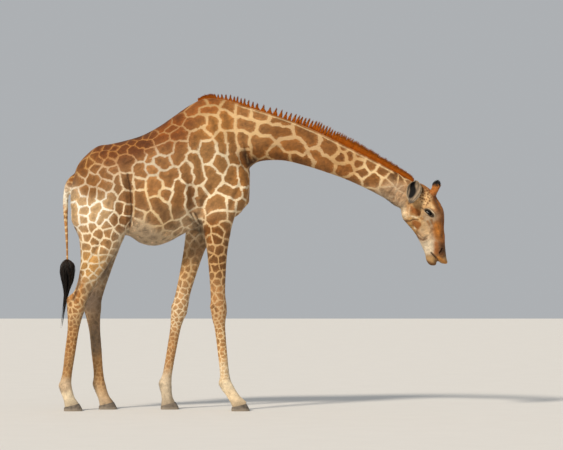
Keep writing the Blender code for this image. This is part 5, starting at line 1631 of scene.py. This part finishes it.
def makeEar(label, side):
    mirror = np.array([1, side, 1])
    axis = unit(np.array(ear["axis"]) * mirror)
    opening = np.array(ear["opening"]) * mirror
    opening = unit(opening - axis * (opening @ axis))
    across = np.cross(axis, opening)
    rows, columns = ear["rows"], ear["columns"]
    share = np.linspace(0, 1, rows)[:, None]
    spot = np.linspace(-1, 1, columns)[None, :]
    fine = np.array(refined([(width,) for width in ear["halfWidths"]], 12))[:, 0]
    halfWidth = np.interp(share, np.linspace(0, 1, len(fine)), fine) - 0.001
    roll = np.radians(ear["flat"] + (ear["roll"] - ear["flat"]) * (1 - share) ** ear["unroll"])
    radius = halfWidth / np.sin(np.minimum(roll, math.pi / 2))
    angle = (roll * spot)[..., None]
    leaf = np.array(ear["root"]) * mirror + axis * (ear["length"] * 0.99 * share)[..., None]
    leaf = leaf + across * radius[..., None] * np.sin(angle)
    cup = np.cos(angle) - np.cos(roll)[..., None] * ear["seat"]
    leaf = leaf - opening * ear["cup"] * radius[..., None] * cup
    # the tip curls a little, and soft folds run along the inside
    creases = 0.0016 * np.sin(spot * 9) * (1 - spot ** 2) * (1 - share)
    leaf = leaf + opening * (0.010 * share ** 3 + creases)[..., None]
    normal = unit(across * np.sin(angle) - opening * np.cos(angle))
    half = ear["thickness"] / 2 * (1 - 0.72 * spot ** 4) * (1 - 0.7 * share ** 3)
    outer, inner = leaf + normal * half[..., None], leaf - normal * half[..., None]
    # one closed shell: outer face, then the inner face back again
    obj = faceOutward(newObject("ear_skin_" + label, *overRings(np.concatenate([outer, inner[:, ::-1]], 1))))
    isInner = np.repeat([[0.0, 1.0]], columns, 1).repeat(rows, 0).ravel()
    spots = np.concatenate([spot, spot[:, ::-1]], 1).repeat(rows, 0).ravel()
    shares = np.repeat(share, 2 * columns, 1).ravel()
    colours = earColours(spots * side, shares, isInner)
    setColours(obj, "hairTint", np.concatenate([colours, colours[[0, -1]]]))
    u = np.concatenate([0.04 + 0.44 * (spots * 0.5 + 0.5) + 0.5 * isInner, [0.25, 0.25]])
    v = np.concatenate([0.04 + 0.92 * shares, [0.01, 0.99]])
    setUv(obj, np.stack([u, v], -1)[cornerVertices(obj)])
    # fine pale hairs along the rim and across the cup
    draw = np.random.default_rng(51)
    hairs, onRim = ear["hairs"], ear["rimHairs"]
    row = draw.uniform(0.02, 0.97, hairs)
    where = draw.uniform(-1, 1, hairs)
    where[:onRim] = np.sign(where[:onRim]) * (1 - np.abs(draw.normal(size=onRim)) * 0.09)
    where = np.clip(where, -0.995, 0.995)
    i, j = row * (rows - 1), (where * 0.5 + 0.5) * (columns - 1)
    lowI, lowJ = np.minimum(i.astype(int), rows - 2), np.minimum(j.astype(int), columns - 2)
    partI, partJ = (i - lowI)[:, None], (j - lowJ)[:, None]

    def at(grid):
        low = grid[lowI, lowJ] * (1 - partI) + grid[lowI + 1, lowJ] * partI
        high = grid[lowI, lowJ + 1] * (1 - partI) + grid[lowI + 1, lowJ + 1] * partI
        return low * (1 - partJ) + high * partJ

    facing = np.where(draw.uniform(0, 1, hairs) < 0.5, 1.0, -1.0)
    facing[:onRim] = np.where(draw.uniform(0, 1, onRim) < 0.4, 1.0, -1.0)
    root = np.where(facing[:, None] > 0, at(outer), at(inner))
    grow = unit(at(normal)) * facing[:, None]
    toRim = across * np.cos(at(angle)) + opening * np.sin(at(angle))
    way = unit(axis * 0.9 + toRim * (np.sign(where) * np.abs(where) ** 2)[:, None] * 1.1)
    long = 0.010 * draw.uniform(0.6, 1.4, hairs)
    long[:onRim] *= 1.25
    tint = earColours(where * side, row, (facing < 0) * 1.0) * draw.uniform(0.85, 1.2, (hairs, 1))
    uv = np.stack([0.04 + 0.44 * (where * 0.5 + 0.5) + 0.5 * (facing < 0), 0.04 + 0.92 * row], -1)
    return obj, shortFur("ear_hair_" + label, root, way, grow, long, ear, tint, uv)


# ossicones
ossicone = {
    # front x and height, rear x and height, half width, distance from the middle
    "stations": ((1556, 1800, 1480, 1815, 36, 44), (1567, 1850, 1498, 1866, 34, 53),
                 (1580, 1880, 1522, 1893, 26, 62), (1591, 1903, 1533, 1911, 25, 66),
                 (1599, 1924, 1538, 1935, 28, 70), (1591, 1943, 1550, 1948, 21, 72)),
    "golden": "#B8722C", "base": "#6E3D18", "black": "#0C0806",
    "hairs": 4200, "rise": 0.20, "sunk": 0.001, "hairWidth": 0.0017, "tipTint": 1.1,
}


def ossiconeTint(places):
    golden, base, black = tones(ossicone, "golden", "base", "black")
    up = smoothStep(1.830, 1.878, places[:, 2] + 0.008 * ripple(places, 0.015, 4))[:, None]
    dark = smoothStep(1.912, 1.932, places[:, 2] + 0.006 * ripple(places, 0.02, 3))[:, None]
    return (base + (golden - base) * up) * (1 - dark) + black * dark


def makeOssicone(label, side):
    rows = [fullStation(*ends, half - 0.002, side=side * out)
            for *ends, half, out in np.array(ossicone["stations"]) / 1000]
    around = 40
    rings = loftRings(rows, 10, around)
    # round the top over
    cap = rings[-1]
    middle = cap.mean(0)
    dome = [middle + (cap - middle) * math.cos(a) + np.array([0.004, 0, 0.012]) * math.sin(a)
            for a in np.linspace(0.25, 1.45, 6)]
    rings = np.concatenate([rings, np.stack(dome)])
    points, faces = overRings(rings)
    obj = faceOutward(newObject("ossicone_skin_" + label, points, faces))
    setColours(obj, "hairTint", ossiconeTint(points))
    u = np.tile(np.abs(np.arange(around) / around - 0.5) * 0.9 + 0.02, len(rings))
    v = np.repeat(np.linspace(0.03, 0.97, len(rings)), around)
    uv = np.concatenate([np.stack([u, v], -1), [[0.25, 0.01], [0.25, 0.99]]])
    setUv(obj, uv[cornerVertices(obj)])
    draw = np.random.default_rng(61)
    hairs = ossicone["hairs"]
    ring = np.clip(draw.uniform(0.0, 1.0, hairs) ** 0.9, 0, 0.995) * (len(rings) - 1)
    spot = draw.integers(0, around, hairs)
    low = np.minimum(ring.astype(int), len(rings) - 2)
    part = (ring - low)[:, None]
    place, beside = (rings[low, k] * (1 - part) + rings[low + 1, k] * part
                     for k in (spot, (spot + 1) % around))
    place = place + (beside - place) * draw.uniform(0, 1, (hairs, 1))
    normal = unit(place - rings[low].mean(1) + np.array([0, 0, 1.0]) * 0.02 * (place[:, 2:3] > 1.938))
    up = unit(rings[-1].mean(0) - rings[0].mean(0))
    topShare = smoothStep(1.900, 1.940, place[:, 2])
    way = unit(up * (1 - 0.2 * topShare[:, None]) + normal * 0.12)
    long = (0.008 + 0.010 * topShare) * draw.uniform(0.6, 1.25, hairs)
    colours = ossiconeTint(place) * draw.uniform(0.8, 1.25, (hairs, 1))
    uv = np.stack([0.1 + 0.8 * spot / around, ring / len(rings)], -1)
    return obj, shortFur("ossicone_hair_" + label, place, way, normal, long, ossicone, colours, uv)


# eyes
eyeLook = {
    "iris": "#120A06", "white": "#3A2C24", "shade": "#120B07", "pupil": "#020202", "rim": "#0C0806",
    "lash": "#120C08",
}


def eyeMaterial():
    # a wet eye: deep brown, nearly black iris under a clear, glossy cornea
    material, add, shader = newMaterial("wetEye")
    look = add("Attribute", attribute_name="gaze").outputs["Fac"]
    place = add("TexCoord").outputs["Object"]
    grain = add("TexNoise", {"Vector": place, "Scale": 420, "Detail": 3})     # about 2 mm
    wavy = add("Math", [grain, 0.05, look], operation="MULTIPLY_ADD")
    ramp = add("ValToRGB", [wavy])
    fillRamp(ramp, eyeLook, ("pupil", 0.26), ("iris", 0.34), ("shade", 0.80), ("white", 0.90))
    bump = add("Bump", {"Strength": 0.05, "Distance": 0.0002, "Height": grain})
    feed(shader, {"Base Color": ramp, "Normal": bump, "Roughness": 0.35, "IOR": 1.38, "Coat Weight": 0.8,
                  "Coat Roughness": 0.02, "Coat IOR": 1.36, "Specular IOR Level": 0.15})
    return material


def makeEye(label, side):
    centre, axis, long, up = eyeFrame(side)
    points, faces = ballShape((0, 0, 0), (1, 1, 1), 0.0, 64, 40)
    # turn the ball's own Y to look along the axis, with the pupil lying level
    local = points[:, [0]] * long + points[:, [1]] * axis + points[:, [2]] * up
    forward = points[:, 1]
    bulge = 1 + 0.035 * smoothStep(0.80, 0.97, forward)
    places = centre + local * (eyeBall["radius"] - 0.0006) * bulge[:, None]
    obj = faceOutward(newObject("eye_ball_" + label, places, faces))
    # 0 at the pupil's middle, wider along the eye
    gaze = np.sqrt((points[:, 0] * 0.62) ** 2 + (points[:, 2] * 1.10) ** 2) + (forward < 0) * 1.0
    setAttribute(obj, "gaze", "FLOAT", gaze)
    return obj


def ballHeight(s, t, radius):
    # height of the ball's face; past 0.8 of its radius it runs on straight, to meet the corners of the lids
    away = np.hypot(s, t)
    onBall = np.sqrt(np.clip(radius ** 2 - away ** 2, 0, None))
    return np.where(away < 0.8 * radius, onBall, 0.6 * radius - 0.9 * (away - 0.8 * radius))


def lidEdge(turn, side):
    # places on the eye's opening at turns round it, and how far along the eye they lie
    centre, axis, long, up = eyeFrame(side)
    s = lids["halfLength"] * np.cos(turn)
    high, low = almond(s)
    t = np.where(np.sin(turn) >= 0, high, low)
    h = ballHeight(s, t, eyeBall["radius"] + 0.0016)
    return centre + s[:, None] * long + t[:, None] * up + h[:, None] * axis, s[:, None] / lids["halfLength"]


def makeLidRims(label, side):
    # the dark wet rim of both lids, a thin rounded cord along the opening, with lashes on the upper one
    centre, axis, long, up = eyeFrame(side)
    turn = np.linspace(0, 2 * math.pi, 120, endpoint=False)
    line, _ = lidEdge(turn, side)
    way = unit(np.roll(line, -1, 0) - np.roll(line, 1, 0))
    outward = unit(line - centre)
    beside = np.cross(way, outward)
    around = np.linspace(0, 2 * math.pi, 10, endpoint=False)[None, :, None]
    thick = (0.0024 + 0.0008 * np.sin(turn).clip(0)) * (0.25 + 0.75 * np.abs(np.sin(turn)) ** 0.6)
    thick = thick[:, None, None]
    spokes = outward[:, None] * np.cos(around) + beside[:, None] * np.sin(around)
    rings = line[:, None] + spokes * thick
    k, row = np.arange(10), np.arange(120)[:, None]
    after, following = (k + 1) % 10, (row + 1) % 120 * 10
    quads = np.stack([row * 10 + k, row * 10 + after, following + after, following + k], -1)
    obj = faceOutward(newObject("lid_rim_" + label, rings.reshape(-1, 3), [quads.reshape(-1, 4)]))
    rimTint = toLinear(eyeLook["rim"])
    setColours(obj, "hairTint", np.broadcast_to(rimTint, (len(obj.data.vertices), 3)))
    draw = np.random.default_rng(71)
    count, onUpper = lids["lashes"], lids["upperLashes"]
    pick = draw.uniform(0.10, 0.90, count) * math.pi
    pick[onUpper:] = -draw.uniform(0.2, 0.8, count - onUpper) * math.pi
    root, along = lidEdge(pick, side)
    upper = (np.arange(count) < onUpper)[:, None]
    size = np.where(upper, 0.026, 0.010) * draw.uniform(0.7, 1.15, (count, 1))
    forward = unit(axis * 0.75 + up * np.where(upper, -0.28, -0.5) + long * along * 0.5)
    bend = unit(axis * 0.35 + up * np.where(upper, -0.80, -0.9) + long * along * 0.5)
    half = root + forward * size * 0.5
    curves = np.stack([root, half, half + bend * size * 0.5], 1)
    dark = np.broadcast_to(toLinear(eyeLook["lash"]), (count, 3))
    uv = np.stack([pick / (2 * math.pi) + 0.5, np.full(count, 0.5)], -1)
    widths = np.tile([0.0011, 0.0008, 0.0], (count, 1))
    ridge = np.broadcast_to(up, (count, 3))
    hairs = makeBlades("lashes_" + label, curves, ridge, widths, dark, dark, uv, 0.5)
    return obj, hairs


# hooves
claw = {
    # height, reach to the toe and to the heel, half width
    "stations": ((0, 92, 56, 32), (4, 95, 60, 33.5), (10, 94, 61, 34), (22, 88, 60, 33.6), (35, 81, 58, 33),
                 (48, 74, 56, 32.3), (62, 66, 53, 31.5), (80, 58, 50, 30), (100, 50, 48, 29)),
    "front": (0.080, 0.066), "rear": (-0.062, 0.030),       # the coronet's ends: x from the foot, height
    "width": 0.064, "cleft": 0.010, "toe": 0.061, "ringGap": 0.0093,
    "horn": "#7D7163", "dark": "#4C443B", "pale": "#9A8E7E",
}


def coronetHeight(x, foot):
    # height of the slope where the hoof meets the hair
    (frontX, frontZ), (rearX, rearZ) = claw["front"], claw["rear"]
    return rearZ + (x - foot - rearX) / (frontX - rearX) * (frontZ - rearZ)


def trimFeet(points):
    # draw the skin's ends up under the coronet, inside the hooves
    for leg in legs.values():
        foot, y = leg["joints"][-1][0], leg["side"] * leg["spread"][-1]
        near = (np.abs(points - (foot, y, 0)) < (0.16, 0.12, 0.16)).all(1)
        low = coronetHeight(points[:, 0], foot) - 0.006
        points[near, 2] = np.maximum(points[near, 2], low[near])
        toe = foot + claw["toe"] + 0.7 * np.maximum(points[:, 2] - claw["front"][1], 0)
        points[near, 0] = np.minimum(points[near, 0], toe[near])
    return points


def hoofMaterial():
    # hoof horn: hard keratin grown in rings, dull and scuffed at the toe, a soft gloss higher up
    material, add, shader = newMaterial("grownHoofHorn")
    place = add("TexCoord").outputs["Object"]
    apart = add("SeparateXYZ", [place])
    noise = add("TexNoise", {"Vector": place, "Scale": 38, "Detail": 5})        # stains of about 26 mm
    wavy = {"Vector": place, "Scale": 62, "Distortion": 3.5, "Detail": 3, "Detail Scale": 2}
    rings = add("TexWave", wavy, bands_direction="Z")                           # growth rings about 5 mm apart
    fibre = add("Mapping", {"Vector": place, "Scale": (1.0, 1.0, 0.06)})
    fibres = add("TexNoise", {"Vector": fibre, "Scale": 900, "Detail": 2})    # about 1 mm
    ramp = add("ValToRGB", [noise])
    fillRamp(ramp, claw, ("dark", 0.32), ("horn", 0.70))
    dusty = add("MapRange", [apart.outputs[2], 0.028, 0, 0, 0.75])
    dust = add("Mix", {0: dusty, 6: ramp, 7: (*toLinear(claw["pale"]), 1)}, data_type="RGBA")
    tone = add("MapRange", [rings.outputs["Fac"], 0, 1, 0.95, 1.04])
    colour = add("VectorMath", {0: dust.outputs[2], "Scale": tone}, operation="SCALE")
    rough = add("MapRange", [noise, 0, 1, 0.42, 0.72])
    height = add("Math", [rings.outputs["Fac"], 0.8, fibres], operation="MULTIPLY_ADD")
    bump = add("Bump", {"Strength": 0.5, "Distance": 0.0008, "Height": height})
    feed(shader, {"Base Color": colour, "Roughness": rough, "Normal": bump, "IOR": 1.56,
                  "Specular IOR Level": 0.4})
    return material


def makeClaw(legName, leg, label, way):
    footX, footY = leg["joints"][-1][0], leg["side"] * leg["spread"][-1]
    y = footY + way * (claw["width"] + claw["cleft"]) / 2
    rows = [fullStation(footX + toe, height, footX - heel, height, half, 0.45, 2.5, y)
            for height, toe, heel, half in np.array(claw["stations"]) / 1000]
    rings = loftRings(rows, 6, 44)
    height = rings[..., 2]
    # growth rings, and a toe that leans a little inward
    uneven = height * 2 * math.pi / claw["ringGap"]
    uneven = uneven + 1.5 * np.sin(rings[..., 0] * 40) + 2.2 * np.sin(height * 130)
    grow = 1 + 0.0012 * np.sin(uneven) * smoothStep(0.004, 0.02, height)
    centre = rings.mean(1, keepdims=True)
    rings = centre + (rings - centre) * (1 + (grow[..., None] - 1) * np.array([1.0, 1.0, 0.0]))
    rings[..., 1] -= way * 0.10 * np.clip(rings[..., 0] - footX - 0.03, 0, None)
    limit = coronetHeight(rings[..., 0], footX) + 0.0005
    rings[..., 2] -= np.maximum(rings[..., 2] - limit, 0)
    points, faces = overRings(rings)
    points[:, 2] = np.maximum(points[:, 2], 0.0)
    return faceOutward(newObject(f"hoof_{legName}_{label}", points, faces))


# camera, light and floor
studio = {
    "cameraPlace": (0.235, -26.5, 1.307),
    "cameraAim": (0.235, 0.0, 1.591),
    "lens": 197.0,
    "floorColour": "#DDDBD7",
    "skyColour": "#E2E6EA",
    "skyStrength": 0.55,
    "keyPlace": (-13.0, -20.0, 19.0),     # the way that the light comes from
    "keyColour": "#FFF3E2",
    "keyEnergy": 3.3,
    "keyAim": (-0.2, 0, 1.4),
    "keySoftness": 9.0,                   # degrees
    "floorHalf": 40,
}


def placed(name, data, place, aim):
    # a camera or light at its place, looking at its aim
    obj = bpy.data.objects.new(name, data)
    bpy.context.scene.collection.objects.link(obj)
    obj.location = place
    obj.rotation_euler = (Vector(aim) - obj.location).to_track_quat("-Z", "Y").to_euler()
    return obj


def makeStudio():
    scene = bpy.context.scene
    scene.view_settings.view_transform = "Standard"
    camera = placed("camera", bpy.data.cameras.new("camera"), studio["cameraPlace"], studio["cameraAim"])
    camera.data.lens = studio["lens"]
    camera.data.clip_end = 200.0
    scene.camera = camera
    light = placed("key", bpy.data.lights.new("key", "SUN"), studio["keyPlace"], studio["keyAim"])
    light.data.energy = studio["keyEnergy"]
    light.data.color = toLinear(studio["keyColour"])
    light.data.angle = math.radians(studio["keySoftness"])
    scene.world = bpy.data.worlds.new("studio")
    scene.world.use_nodes = True
    sky = scene.world.node_tree.nodes["Background"]
    feed(sky, [(*toLinear(studio["skyColour"]), 1), studio["skyStrength"]])
    half = studio["floorHalf"]
    corners = np.array([(-half, -half, 0), (half, -half, 0), (half, half, 0), (-half, half, 0)], float)
    floor = newObject("floor", corners, [np.array([[0, 1, 2, 3]])], shifted=False)
    # smoothed plaster: matt, with faint broad clouds of about 300 mm
    material, add, shader = newMaterial("smoothPlasterFloor")
    place = add("TexCoord").outputs["Object"]
    grain = add("TexNoise", {"Vector": place, "Scale": 3, "Detail": 5})
    tone = add("MapRange", [grain, 0, 1, 0.97, 1.03])
    colour = add("VectorMath", {0: toLinear(studio["floorColour"]), "Scale": tone}, operation="SCALE")
    feed(shader, {"Base Color": colour, "Roughness": 0.8})
    floor.data.materials.append(material)
    print("camera, light and floor")


# build
skin = makeSkin()
coat = dressSkin(skin)
fleshNodes = ["trunk", "neck_lower", "neck_upper", "head", "tail"]
fleshNodes += [legName + "_" + bone for legName, leg in legs.items() for bone in leg["bones"][1:]]
finishPiece(skin, coatMaterial(), fleshNodes)
print("skin of", len(coat["triangles"]), "triangles")
# short guard hair of the coat: the same colours as the hide, each tuft a little lighter at its tip
growCoat(coat, hairMaterial("shortGuardHair", 0.70, 0.22, 0.10, 0.05))
makeMane(BVHTree.FromPolygons(coat["points"].tolist(), coat["triangles"].tolist()))
makeTailTuft()
# ear leather with velvet hair, soft and matt
earLeather = hairMaterial("velvetEarSkin", 0.75, 0.2, 0.12, 0.1)
# golden, drawn-up hair on bone, and black tips
ossiconeHair = hairMaterial("goldenOssiconeHair", 0.62, 0.3, 0.14, 0.08)
# smooth, stiff lashes, glossier than the coat
lashHair = hairMaterial("blackLashes", 0.4, 0.4, 0.1)
wetEye = eyeMaterial()
hornHoof = hoofMaterial()
for label, side in sides.items():
    for slot, material, (solid, fur) in (("ear", earLeather, makeEar(label, side)),
                                         ("ossicone", ossiconeHair, makeOssicone(label, side))):
        finishPiece(solid, material, [slot + "_" + label])
        finishPiece(fur, material)
    finishPiece(makeEye(label, side), wetEye, ["eye_" + label])
    for piece in makeLidRims(label, side):
        finishPiece(piece, lashHair)
    print(label, "ear, ossicone, eye and lids")
for legName, leg in legs.items():
    for label, way in (("outer", leg["side"]), ("inner", -leg["side"])):
        finishPiece(makeClaw(legName, leg, label, way), hornHoof, [f"claw_{legName}_{label}"])
print("hooves")

makeStudio()
